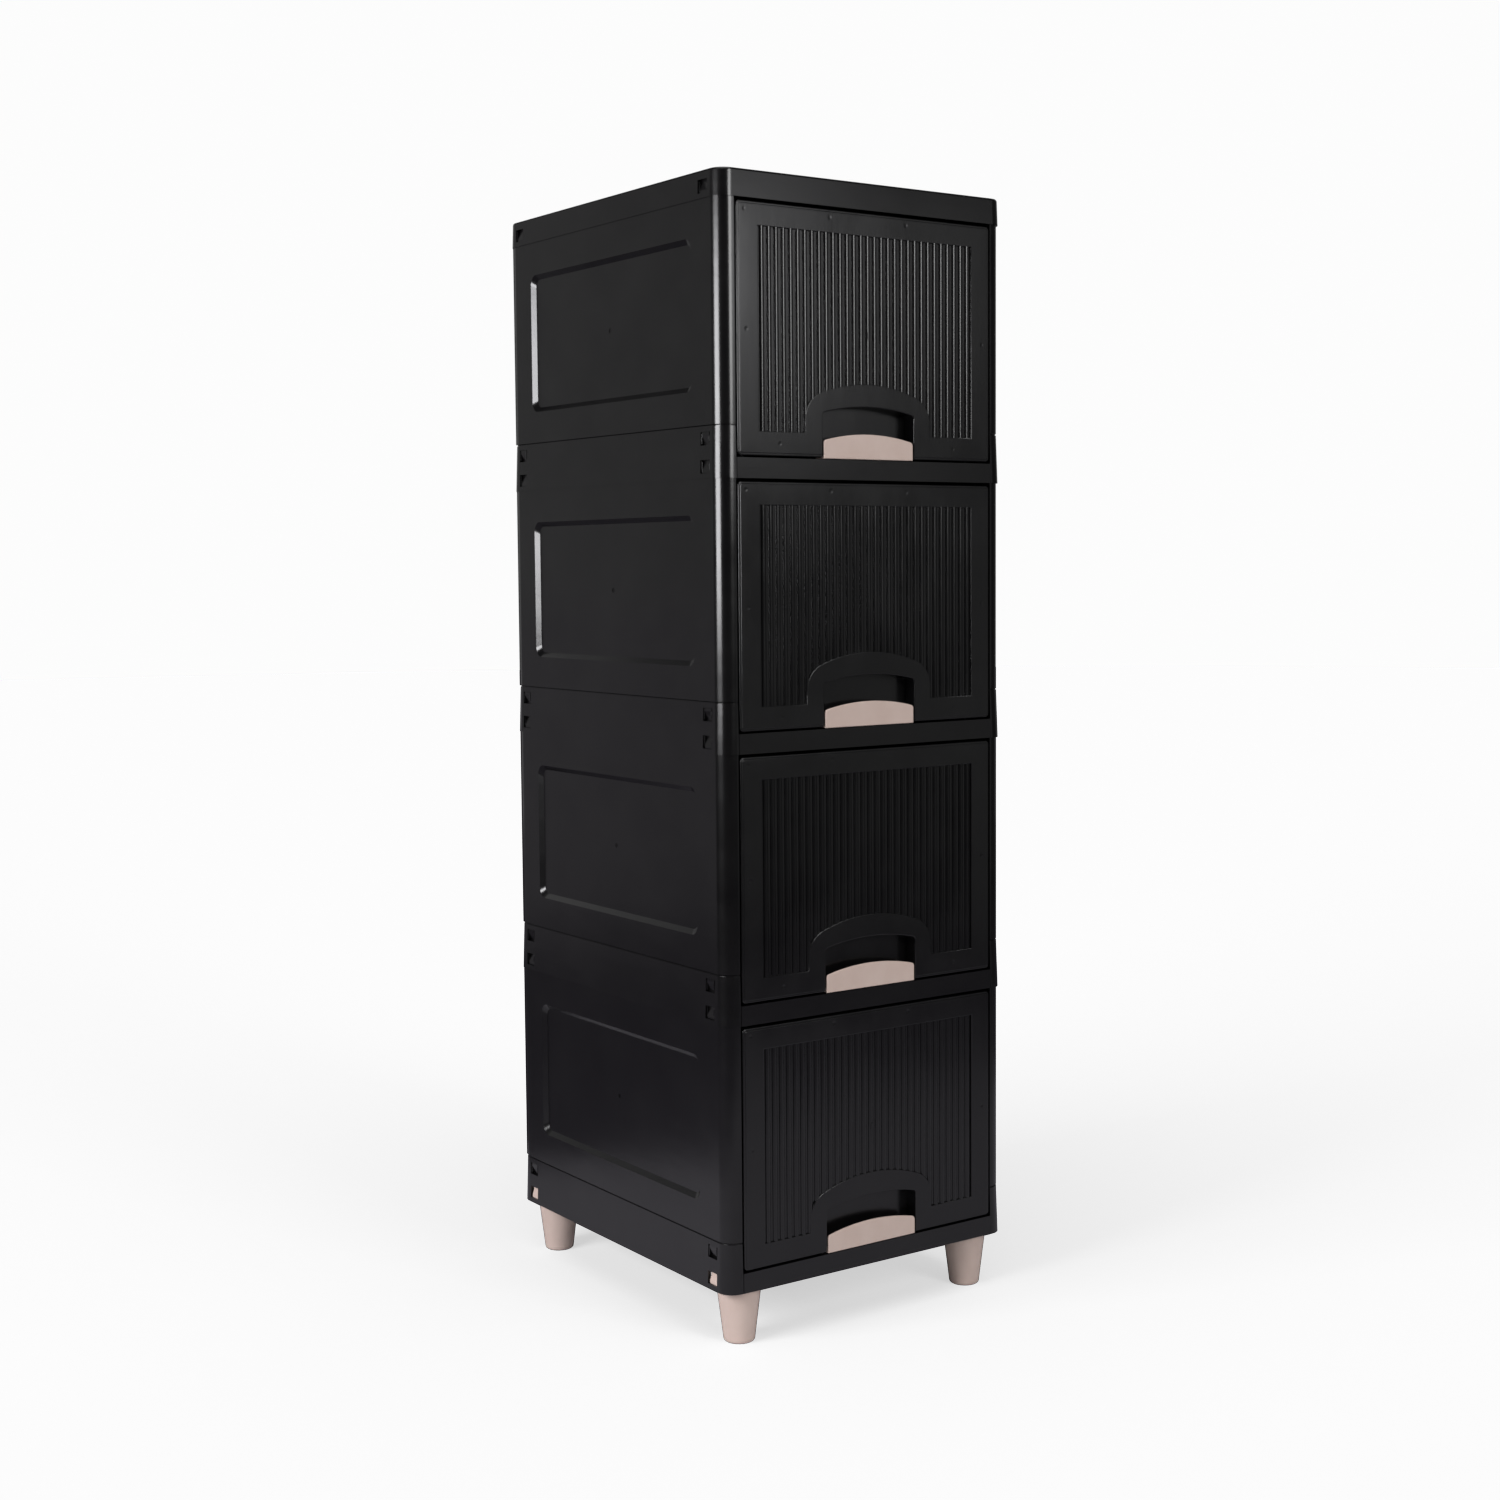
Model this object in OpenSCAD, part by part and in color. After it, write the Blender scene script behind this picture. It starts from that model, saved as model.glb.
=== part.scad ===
// Drawer tower: four snap-together tiers of moulded plastic, each with one pull-out drawer.
// X is the width, -Y the front, +Z up. The origin lies on the floor, under the middle of the tower.

/* [Cabinet] */
// Number of tiers, counted from the top
tiers = 4; // [2:1:6]
// Width over the lower edge of a frame
cab_w = 360; // [330:5:400]
// Depth from the face of the handle lips to the rear edge of a frame
cab_d = 420; // [380:5:460]
// Radius of the upright corners
corner_r = 16; // [12:1:20]
// Wall of the frames, the lid and the panels
wall = 2.4; // [2:0.2:3]
// How far the lower edge of a frame stands out past the panels
flare = 1.2; // [0.6:0.2:2]
// Height of a shelf frame at its corners
frame_h = 50; // [46:1:60]
// Height of a side or back panel between two frames
panel_h = 218; // [180:2:260]
// Height of the seam groove at the foot of a panel
seam_h = 0.8; // [0.4:0.2:1.2]
// Depth of the seam groove
seam_d = 1; // [0.6:0.2:1.4]

/* [Front opening] */
// Width of a corner post beside a drawer
post_w = 18.5; // [16:0.5:24]
// Thickness of the jamb that turns back from a post
jamb_t = 2; // [1.6:0.2:2.4]
// Height of the front rail under a drawer
rail_h = 20; // [18:0.5:24]
// How far the rail stands in front of the corner posts
rail_proud = 0.6; // [0.4:0.1:1]
// Groove between the rail's face and the posts
rail_seam = 0.6; // [0.4:0.1:1]

/* [Shelf frame] */
// Thickness of the shelf deck
deck_t = 2.4; // [2:0.2:3]
// Thickness of the stiffening ribs
rib_t = 1.8; // [1.4:0.2:2.2]
// Height of the ribs above the lower edge of a frame
rib_z = 4; // [3:0.5:6]
// Windows across the deck
windows_x = 1; // [1:1:3]
// Windows from front to back of the deck
windows_y = 2; // [1:1:4]
// Width of the bars between two windows
bar_w = 14; // [10:1:20]
// Plain deck in front of and behind the windows
end_bar = 22; // [18:1:30]
// Width of a runner ledge
runner_w = 20; // [16:1:24]
// Height of a runner above the rail
runner_h = 7; // [5:0.5:10]
// Height of the guide beside a runner
guide_h = 13; // [11:0.5:16]
// Thickness of the runner and of its guide
runner_t = 2; // [1.6:0.2:2.4]
// Gap between a shut drawer front and the runners
runner_gap = 1.3; // [0.6:0.1:2]
// Room between the rear stop wall and the rear wall
stop_in = 8; // [7.5:0.5:10]

/* [Lid] */
// Height of the lid
lid_h = 27; // [24:1:36]
// Rounding along the top edge of the lid
lid_round = 2.4; // [1:0.2:4]
// Stiffening ribs each way under the lid
lid_ribs = 3; // [2:1:5]
// Height of the ribs under the lid
lid_rib_h = 9; // [4:0.5:12]

/* [Snap tabs] */
// Width of a slot
slot_w = 16; // [13:0.5:18]
// Height of a slot
slot_h = 13; // [11:0.5:14]
// Plastic left between a slot and the edge of the frame
slot_edge = 5; // [4:0.5:7]
// Thickness of a snap tab
tab_t = 2.4; // [2:0.2:2.8]
// Clearance of a tab behind the wall and round whatever fits by hand
tab_gap = 0.3; // [0.2:0.1:0.5]
// How far a tab reaches past its slot
tab_over = 2; // [1:0.2:3]
// Width of the barb on a tab
barb_w = 12; // [8:0.5:12.5]
// Height of the barb
barb_h = 10.5; // [8:0.5:10.5]
// How far the barb stays behind the outside of the wall
barb_shy = 0.3; // [0.1:0.1:0.8]
// How much narrower than its slot a tab is
tab_narrow = 2; // [1:0.5:4]
// How far a tab runs down the inside of its panel
tab_root_l = 14; // [8:1:24]

/* [Side and back panels] */
// Margin between a panel's ends and its sunk field
field_in_y = 50; // [46:1:60]
// Margin above and below the sunk field
field_in_z = 35; // [28:1:44]
// Corner radius of the sunk field
field_r = 11; // [9:1:14]
// Depth of the sunk field
field_d = 4; // [2:0.5:5]
// Width of the slope round the sunk field
field_slope = 5; // [3:0.5:7]
// Width of the side panel's return behind the back panel
return_w = 28; // [24:1:34]
// Overlap of the back panel with that return
back_lap = 11; // [7:1:14]
// Distance of the back panel's tabs from its middle
back_tab_x = 60; // [40:5:90]
// Width of the back panel's tabs
back_tab_w = 24; // [16:1:40]
// Length of the back panel's tabs
back_tab_l = 14; // [10:1:16]
// Gap between the rear ribs of a frame and the tabs that come from below
seat_gap = 1.5; // [1:0.5:3]
// Diameter of a gate mark
gate_d = 5; // [4:0.5:7]
// Depth of a gate mark
gate_sunk = 0.6; // [0.3:0.1:0.8]
// Diameter of the nub in a gate mark
nub_d = 1.6; // [1:0.1:2.4]

/* [Drawer front] */
// Gap between a drawer front and the posts
front_gap = 2; // [1.4:0.2:3]
// Gap above a drawer front
top_gap = 3; // [2:0.2:4]
// Gap between a drawer front and the rail
rail_gap = 2; // [1.8:0.2:3]
// Corner radius of a drawer front
front_r = 4; // [3:0.5:6]
// Depth of a drawer front, from its face to the tray
front_d = 17.2; // [16:0.2:20]
// Plastic behind the sunk parts of the front
front_skin = 2; // [1.6:0.2:2.6]
// Width of the step round the face
step_w = 2.2; // [1.4:0.2:3]
// Depth of the step round the face
step_d = 0.7; // [0.4:0.1:1]
// How far a drawer's face lies behind the face of its handle lip
lip_proud = 0.5; // [0.3:0.1:1]

/* [Reeded field] */
// Number of ribs
reeds = 31; // [21:2:35]
// Plain margin on either side of the field
reed_side = 24.9; // [20:0.1:32]
// Distance from the side of the field to the middle of its first rib
reed_edge = 4.85; // [3.5:0.05:6]
// Radius of a rib
reed_r = 2.4; // [2:0.1:2.8]
// Depth of the field
reed_d = 2; // [1.4:0.1:2.2]
// Margin above the field
reed_top = 23; // [18:1:30]
// Margin below the field
reed_bottom = 24; // [18:1:30]

/* [Handle] */
// Half width of the plain arch
arch_hw = 79.5; // [74:0.5:86]
// Height of the plain arch
arch_h = 74; // [68:1:82]
// Radius of the arch's crown
arch_crown_r = 170; // [150:5:220]
// Radius of the arch's shoulders
arch_shoulder_r = 28; // [20:1:32]
// Half width of the finger opening
grip_hw = 58; // [50:0.5:62]
// Height of the finger opening at its sides
grip_side_h = 44; // [40:0.5:48]
// Height of the finger opening in the middle
grip_mid_h = 51; // [49:0.5:56]
// Rounding of the upper corners of the opening and of the lip
grip_corner_r = 3.5; // [1:0.5:6]
// Depth of the finger pocket
grip_d = 15; // [12:0.5:15]
// Wall of the finger pocket
grip_wall = 1.8; // [1.4:0.2:2.2]
// Gap between the lip and the sides of the opening
lip_gap = 1.5; // [1:0.1:2]
// Height of the lip at its sides
lip_side_h = 18; // [15:0.5:21]
// Height of the lip in the middle
lip_mid_h = 25; // [22:0.5:28]
// Thickness of the lip
lip_t = 2.4; // [2:0.2:3]
// Thickness of the lip's floor
lip_floor_t = 1.8; // [1.4:0.2:2.4]
// How far the lip hangs below the drawer front
lip_drop = 1.2; // [0.6:0.1:1.4]
// Distance of the rear lugs from the middle of the lip
lip_lug_x = 40; // [20:1:48]
// Width of a rear lug
lip_lug_w = 10; // [6:1:14]
// Height of a rear lug
lip_lug_h = 9; // [6:0.5:14]

/* [Drawer tray] */
// Wall of the tray
tray_wall = 2; // [1.6:0.2:2.6]
// Floor of the tray
tray_floor = 2.2; // [1.8:0.2:3]
// Corner radius of the tray
tray_r = 8; // [6:1:12]
// Height of the skids under the tray
skid_h = 1.5; // [1:0.1:2]
// Width of a skid
skid_w = 8; // [6:0.5:12]
// Distance of a skid from the side of the tray
skid_in = 4; // [3:0.5:6]
// Gap between skids and runners
run_gap = 0.3; // [0.2:0.1:0.5]
// Gap between the tray and the guides
side_gap = 2.2; // [1.8:0.1:2.6]
// Gap between the tray's rim and the frame above
rim_gap = 6; // [5:0.5:12]
// Width of the tray's rim
rim_w = 2.6; // [2:0.2:3]
// Gap behind the tray when the drawer is shut
rear_gap = 0.4; // [0.3:0.1:1]
// How far a drawer pulls out
travel = 300; // [200:5:310]
// Reach of the stop lugs
lug_reach = 1.6; // [1.3:0.1:1.7]
// Length of a stop lug's ramp
lug_l = 6; // [4:0.5:10]
// Distance from the rear of the tray to its lugs
lug_in = 14; // [10:1:30]
// Gap between the lugs of a drawer that is pulled right out
lug_gap = 0.5; // [0.3:0.1:1]
// Gap between a lug and the guide or tray that it passes
lug_pass = 0.6; // [0.4:0.1:0.8]

/* [Clips] */
// Width of the clips between front and tray
clip_w = 12; // [8:1:18]
// Thickness of a clip
clip_t = 2; // [1.6:0.2:2.6]
// Reach of a clip's hook
clip_hook = 1.4; // [0.8:0.1:2]
// Distance of the upper clips from the middle
clip_top_x = 48; // [30:1:100]
// Distance of the lower clips from the middle
clip_low_x = 110; // [80:1:120]
// Distance of the upper, lower and side clips from the nearest edge of the front
clip_in = 12; // [11:0.5:16]

/* [Feet] */
// Height of a foot
foot_h = 57; // [40:1:80]
// Diameter at the top of a foot
foot_top_d = 45; // [38:0.5:48]
// Diameter at the floor
foot_bottom_d = 31; // [24:0.5:36]
// Distance from the cabinet's side to the middle of a foot
foot_in = 32; // [30:0.5:36]
// Thickness of a foot's flange, inside the frame
flange_t = 2; // [1.4:0.2:3]
// How far the flange stands out round the top of a foot
flange_rim = 1; // [0.6:0.1:2]
// Gap between the flange and the walls of the frame
flange_gap = 0.9; // [0.5:0.1:2]
// Diameter of a foot's spigot
spigot_d = 30; // [24:0.5:30]
// Height of a foot's spigot
spigot_h = 9; // [6:0.5:12]

/* [Hidden] */
$fn = 96;

hull_fn = 32;           // facets round a blended corner
eps = 0.02;             // overlap that joins touching solids
black = "#242427";
drawer_black = "#2b2b2e";
rose = "#b9a79d";

// Faces of the cabinet, in plan
front_y = -cab_d / 2;                       // face of the handle lips
back_y = cab_d / 2;                         // lower rear edge of the frames
shell_front = front_y + lip_proud + rail_proud / 2;
rail_y = shell_front - rail_proud / 2;
face_y = front_y + lip_proud;
plan_y = (shell_front + back_y) / 2;
shell_d = back_y - shell_front;
panel_w = cab_w - 2 * flare;
panel_d = shell_d - 2 * flare;
panel_front = shell_front + flare;
inner_w = panel_w - 2 * wall;
inner_d = panel_d - 2 * wall;
inner_r = corner_r - wall;
open_hw = cab_w / 2 - post_w;               // half width of the drawer opening
jamb_end = face_y + front_d;                // rear end of the jambs
flange_r = foot_top_d / 2 + flange_rim;
slot_y = inner_d / 2 - flange_gap - flange_r;   // slots and feet, either side of plan_y
tab_x = inner_w / 2 - tab_gap;              // outer face of the tabs
tab_w = slot_w - tab_narrow;

// Heights
pitch = frame_h + panel_h;
function frame_z(t) = foot_h + (tiers - t) * pitch;
function panel_z(t) = frame_z(t) + frame_h;
lid_z = foot_h + tiers * pitch;
function frame_name(t) = t == tiers ? "base_frame" : str("shelf_frame_", t);

// Feet
socket_d = spigot_d + 2 * tab_gap;

// Drawer, measured from the frame below it
drawer_z = rail_h + rail_gap;
front_h = pitch - drawer_z - top_gap;
front_hw = open_hw - front_gap;
guide_x = open_hw - runner_t / 2;           // inner face of the guides
tray_hw = guide_x - side_gap;
tray_front = jamb_end;
stop_y = plan_y + inner_d / 2 - stop_in;    // front face of the rear stop wall
tray_back = stop_y - rear_gap;
tray_z = rail_h + runner_h + run_gap;
tray_top = pitch - rim_gap;
lug_z = tray_z + skid_h + run_gap;
lug_h = rail_h + runner_h + guide_h - lug_z - 2;
tray_lug_y = tray_back - lug_in;
stop_lug_y = tray_lug_y - travel - lug_gap;
runner_y = jamb_end + runner_gap;

// Windows of the deck, and the ribs between them
win_area_w = 2 * (open_hw - runner_w - bar_w);
win_area_d = 2 * (stop_y - plan_y - end_bar);
win_w = (win_area_w - (windows_x - 1) * bar_w) / windows_x;
win_d = (win_area_d - (windows_y - 1) * bar_w) / windows_y;
function rib_x(i) = -win_area_w / 2 + i * (win_w + bar_w) - bar_w / 2;
function rib_y(j) = plan_y - win_area_d / 2 + j * (win_d + bar_w) - bar_w / 2;

// Handle
reed_hw = front_hw - reed_side;
reed_pitch = 2 * (reed_hw - reed_edge) / (reeds - 1);
skin_t = reed_d + front_skin;
lip_hw = grip_hw - lip_gap;
shoulder_z = arch_h - arch_crown_r
    + sqrt(pow(arch_crown_r - arch_shoulder_r, 2) - pow(arch_hw - arch_shoulder_r, 2));
crown_hw = (arch_hw - arch_shoulder_r) * arch_crown_r / (arch_crown_r - arch_shoulder_r);

// ---- Outlines ----

// Rectangle with round corners, centred
module plate(w, d, r) {
    square([w - 2 * r, d], center = true);
    square([w, d - 2 * r], center = true);
    for (x = [-1, 1], y = [-1, 1])
        translate([x * (w / 2 - r), y * (d / 2 - r)])
            circle(r);
}

// Upright sides of half width hw under an arc from side_h to mid_h; upper corners rounded by round_r
module arched(hw, side_h, mid_h, round_r) {
    rise = mid_h - side_h;
    r = (hw * hw + rise * rise) / (2 * rise);
    offset(r = round_r, $fn = hull_fn)
        offset(delta = -round_r)
            intersection() {
                translate([-hw, -mid_h])
                    square([2 * hw, 2 * mid_h + 1]);
                translate([0, mid_h - r])
                    circle(r, $fn = 180);
            }
}

// Plain arch round the handle: a flat crown that runs into round shoulders
module arch_outline() {
    translate([-arch_hw, 0])
        square([2 * arch_hw, shoulder_z]);
    for (x = [-1, 1])
        translate([x * (arch_hw - arch_shoulder_r), shoulder_z])
            circle(arch_shoulder_r);
    intersection() {
        translate([-crown_hw, 0])
            square([2 * crown_hw, arch_h + 1]);
        translate([0, arch_h - arch_crown_r])
            circle(arch_crown_r, $fn = 180);
    }
}

// Drawer front, drawn in by inset
module front_outline(inset) {
    translate([0, front_h / 2])
        plate(2 * (front_hw - inset), front_h - 2 * inset, max(front_r - inset, 1));
}

// Extrudes an X-Z outline from y0 back to y1
module slab(y0, y1) {
    translate([0, y1, 0])
        rotate([90, 0, 0])
            linear_extrude(y1 - y0)
                children();
}

// Repeats what it is given on the left
module both_sides() {
    children();
    mirror([1, 0, 0])
        children();
}

// Mirrors front and rear about the middle of the plan
module both_ends() {
    for (s = [0, 1])
        translate([0, plan_y, 0])
            mirror([0, s, 0])
                children();
}

// Small round sink with a nub, where the mould was filled; the axis is +Z
module gate_sink() {
    difference() {
        translate([0, 0, -gate_sunk])
            cylinder(d = gate_d, h = 2);
        translate([0, 0, -gate_sunk - 1])
            cylinder(d = nub_d, h = gate_sunk + 0.8);
    }
}

// ---- Snap tabs and slots ----

// Slots through both side walls, at height z
module slots(z) {
    both_sides()
        both_ends()
            translate([tab_x - tab_t, slot_y - slot_w / 2, z])
                cube([cab_w, slot_w, slot_h]);
}

// Tab that stands up from z = 0 along a side wall, with a barb in the slot above slot_edge
module tab() {
    barb_z = slot_edge + tab_gap;
    reach = tab_gap + wall - barb_shy;
    translate([tab_x - tab_t, -tab_w / 2, 0])
        cube([tab_t, tab_w, slot_edge + slot_h + tab_over]);
    translate([tab_x - eps, barb_w / 2, 0])
        rotate([90, 0, 0])
            linear_extrude(barb_w)
                polygon([
                    [0, barb_z], [reach, barb_z], [reach, barb_z + barb_h / 3], [0, barb_z + barb_h]
                ]);
}

// Root that joins a tab to the inside of a panel
module tab_root() {
    translate([tab_x - tab_t, -tab_w / 2, -tab_root_l])
        cube([tab_t + tab_gap + eps, tab_w, tab_root_l + eps]);
}

// ---- Frames and lid ----

// Block with round corners, whose sides lean in by flare towards the top
module leaning_block(h) {
    hull() {
        linear_extrude(eps)
            plate(cab_w, shell_d, corner_r, $fn = hull_fn);
        translate([0, 0, h - eps])
            linear_extrude(eps)
                plate(panel_w, panel_d, corner_r, $fn = hull_fn);
    }
}

// Plan of the jamb that turns back from a corner post, right side
module jamb_plan() {
    translate([open_hw, panel_front + wall / 2])
        square([jamb_t, jamb_end - panel_front - wall / 2]);
}

// Side wall of a frame: a leaning ring that is cut down to the rail between the posts
module frame_ring() {
    difference() {
        translate([0, plan_y, 0])
            leaning_block(frame_h);
        translate([0, plan_y, -1])
            linear_extrude(frame_h + 2)
                plate(inner_w, inner_d, inner_r);
        translate([-open_hw, front_y - 1, -1])
            cube([2 * open_hw, plan_y - inner_d / 2 - front_y + 2, frame_h + 2]);
    }
    both_sides()
        translate([0, 0, rail_h - deck_t])
            linear_extrude(frame_h - rail_h + deck_t)
                jamb_plan();
}

// Front rail, drawn down from the front edge of the deck
module rail() {
    translate([-open_hw - jamb_t, rail_y + rail_proud, 0])
        cube([2 * (open_hw + jamb_t), wall, rail_h]);
    translate([-open_hw + rail_seam, rail_y, 0])
        cube([2 * (open_hw - rail_seam), rail_proud + eps, rail_h]);
}

// Deck with its windows, flush with the top of the rail
module deck() {
    deck_front = rail_y + rail_proud;
    difference() {
        translate([-open_hw - jamb_t, deck_front, rail_h - deck_t])
            cube([2 * (open_hw + jamb_t), stop_y - deck_front + wall, deck_t]);
        for (i = [0:windows_x - 1], j = [0:windows_y - 1])
            translate([rib_x(i) + bar_w / 2, rib_y(j) + bar_w / 2, 0])
                cube([win_w, win_d, frame_h]);
    }
}

// Stiffening ribs under the deck: lengthwise, crosswise and out to the side and rear walls.
// The tabs of the back panel stand on the two outer ribs at the rear.
module deck_ribs() {
    rib_h = rail_h - deck_t - rib_z + eps;
    seat_z = back_tab_l + seat_gap;
    for (i = [0:windows_x])
        translate([rib_x(i) - rib_t / 2, rail_y + wall, rib_z])
            cube([rib_t, stop_y - rail_y - wall, rib_h]);
    for (j = [0:windows_y])
        translate([-open_hw - jamb_t + eps, rib_y(j) - rib_t / 2, rib_z])
            cube([2 * (open_hw + jamb_t - eps), rib_t, rib_h]);
    both_sides()
        for (j = [1:1:windows_y - 1])
            translate([open_hw, rib_y(j) - rib_t / 2, rib_z])
                cube([inner_w / 2 - open_hw + eps, rib_t, rib_h + deck_t]);
    translate([-rib_t / 2, stop_y, rib_z])
        cube([rib_t, stop_in + eps, rib_h + deck_t]);
    both_sides()
        translate([back_tab_x - rib_t / 2, stop_y, seat_z])
            cube([rib_t, stop_in + eps, frame_h - back_tab_l - seat_z]);
}

// Runner ledge with its guide and stop lug, right side
module runner() {
    slab(runner_y, stop_y + eps)
        polygon([
            [open_hw - runner_w, rail_h - eps], [open_hw - runner_w + runner_t, rail_h - eps],
            [open_hw - runner_w + runner_t, rail_h + runner_h - runner_t],
            [guide_x, rail_h + runner_h - runner_t], [guide_x, rail_h - eps],
            [guide_x + runner_t, rail_h - eps], [guide_x + runner_t, rail_h + runner_h + guide_h],
            [guide_x, rail_h + runner_h + guide_h], [guide_x, rail_h + runner_h],
            [open_hw - runner_w, rail_h + runner_h]
        ]);
    translate([0, 0, lug_z])
        linear_extrude(lug_h)
            polygon([
                [guide_x + eps, stop_lug_y], [tray_hw + lug_pass, stop_lug_y],
                [guide_x + eps, stop_lug_y - lug_l]
            ]);
}

// Wall behind the tray, where a shut drawer stops
module rear_stop() {
    translate([-open_hw - jamb_t, stop_y, rail_h - deck_t])
        cube([2 * (open_hw + jamb_t), wall, deck_t + runner_h + guide_h]);
}

// Centre of a foot in the right rear quarter
module at_foot() {
    translate([cab_w / 2 - foot_in, slot_y, 0])
        children();
}

// Round sockets under the deck, which stand on the flanges of the feet and hold their spigots
module foot_sockets() {
    both_sides()
        both_ends()
            at_foot()
                translate([0, 0, flange_t])
                    difference() {
                        cylinder(d = socket_d + 2 * wall, h = rail_h - deck_t - flange_t + eps);
                        translate([0, 0, -1])
                            cylinder(d = socket_d, h = rail_h - deck_t - flange_t);
                    }
}

// Room for the spigots, so that no rib crosses a socket
module socket_room() {
    both_sides()
        both_ends()
            at_foot()
                translate([0, 0, -1])
                    cylinder(d = socket_d, h = rail_h - deck_t);
}

// Shelf frame; the lowest one is the base
module frame() {
    color(black)
        difference() {
            union() {
                frame_ring();
                rail();
                deck();
                both_sides()
                    runner();
                rear_stop();
                difference() {
                    deck_ribs();
                    socket_room();
                }
                foot_sockets();
            }
            slots(slot_edge);
            slots(frame_h - slot_edge - slot_h);
        }
}

// Lid: a shallow cap with a rounded top edge, ribs inside and one slot near each corner
module lid() {
    rib_low = lid_h - wall - lid_rib_h;
    top_w = cab_w - flare;
    top_d = shell_d - flare;
    color(black)
        difference() {
            union() {
                difference() {
                    translate([0, plan_y, 0])
                        hull() {
                            linear_extrude(eps)
                                plate(cab_w, shell_d, corner_r, $fn = hull_fn);
                            for (a = [0, 30, 60, 90])
                                translate([0, 0, lid_h - lid_round * (1 - sin(a)) - eps])
                                    linear_extrude(eps)
                                        plate(top_w - 2 * lid_round * (1 - cos(a)),
                                              top_d - 2 * lid_round * (1 - cos(a)),
                                              corner_r - lid_round * (1 - cos(a)), $fn = hull_fn);
                        }
                    translate([0, plan_y, -1])
                        linear_extrude(lid_h - wall + 1)
                            plate(inner_w, inner_d, inner_r);
                }
                for (i = [1:lid_ribs]) {
                    share = i / (lid_ribs + 1) - 0.5;
                    translate([share * inner_w - rib_t / 2, plan_y - inner_d / 2 - eps, rib_low])
                        cube([rib_t, inner_d + 2 * eps, lid_rib_h + eps]);
                    translate([-inner_w / 2 - eps, plan_y + share * inner_d - rib_t / 2, rib_low])
                        cube([inner_w + 2 * eps, rib_t, lid_rib_h + eps]);
                }
            }
            slots(slot_edge);
            translate([0, plan_y, lid_h])
                gate_sink();
        }
}

// ---- Panels ----

// Sunk field of size w by h: a slab with sloped sides, its outer face at z = 0, sunk below it
module sunk_field(w, h, grow) {
    hull() {
        translate([0, 0, -eps])
            linear_extrude(1)
                plate(w + 2 * grow, h + 2 * grow, field_r + grow, $fn = hull_fn);
        translate([0, 0, -field_d])
            linear_extrude(eps)
                plate(w - 2 * field_slope + 2 * grow, h - 2 * field_slope + 2 * grow,
                      field_r - field_slope / 2 + grow, $fn = hull_fn);
    }
}

// Plan of the right side panel: side wall, two round corners, jamb and rear channel
module side_plan() {
    channel_x = cab_w / 2 - return_w + back_lap / 2;
    channel_y = plan_y + inner_d / 2 - 2 * tab_gap - wall - rib_t;
    intersection() {
        translate([0, plan_y])
            difference() {
                plate(panel_w, panel_d, corner_r);
                plate(inner_w, inner_d, inner_r);
            }
        union() {
            translate([open_hw, -cab_d / 2])
                square([cab_w / 2, cab_d]);
            translate([cab_w / 2 - return_w, 0])
                square([return_w, cab_d / 2]);
        }
    }
    jamb_plan();
    translate([channel_x, channel_y])
        square([inner_w / 2 - channel_x + eps, rib_t]);
}

// Right side panel, from z = 0 to panel_h, with its tabs above and below
module side_panel() {
    fw = shell_d - 2 * field_in_y;
    fh = panel_h - 2 * field_in_z;
    difference() {
        union() {
            linear_extrude(panel_h)
                side_plan();
            translate([panel_w / 2 - wall, plan_y, panel_h / 2])
                rotate([90, 0, 90])
                    sunk_field(fw, fh, wall);
            both_ends()
                translate([0, slot_y, panel_h]) {
                    tab_root();
                    tab();
                }
            both_ends()
                translate([0, slot_y, 0])
                    mirror([0, 0, 1]) {
                        tab_root();
                        tab();
                    }
        }
        translate([panel_w / 2, plan_y, panel_h / 2])
            rotate([90, 0, 90]) {
                sunk_field(fw, fh, 0);
                translate([0, 0, -field_d])
                    gate_sink();
            }
        translate([0, plan_y, -eps])
            linear_extrude(seam_h)
                difference() {
                    plate(cab_w + 10, cab_d + 10, corner_r);
                    plate(panel_w - 2 * seam_d, panel_d - 2 * seam_d, corner_r - seam_d);
                }
    }
}

module left_panel() {
    color(black)
        mirror([1, 0, 0])
            side_panel();
}

module right_panel() {
    color(black)
        side_panel();
}

// Back panel, held in the channels of the side panels
module back_panel() {
    seen_w = cab_w - 2 * return_w;
    back_w = seen_w + 2 * back_lap;
    outer_y = plan_y + inner_d / 2 - tab_gap;
    color(black)
        difference() {
            union() {
                translate([-back_w / 2, outer_y - wall, 0])
                    cube([back_w, wall, panel_h]);
                for (x = [-1, 1], z = [-back_tab_l, panel_h - eps])
                    translate([x * back_tab_x - back_tab_w / 2, outer_y - wall, z])
                        cube([back_tab_w, wall, back_tab_l + eps]);
                translate([0, outer_y - wall, panel_h / 2])
                    rotate([90, 0, 180])
                        sunk_field(seen_w - 2 * field_in_z, panel_h - 2 * field_in_z, wall);
            }
            translate([0, outer_y, panel_h / 2])
                rotate([90, 0, 180]) {
                    sunk_field(seen_w - 2 * field_in_z, panel_h - 2 * field_in_z, 0);
                    translate([0, 0, -field_d])
                        gate_sink();
                }
        }
}

// ---- Drawer ----

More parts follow.
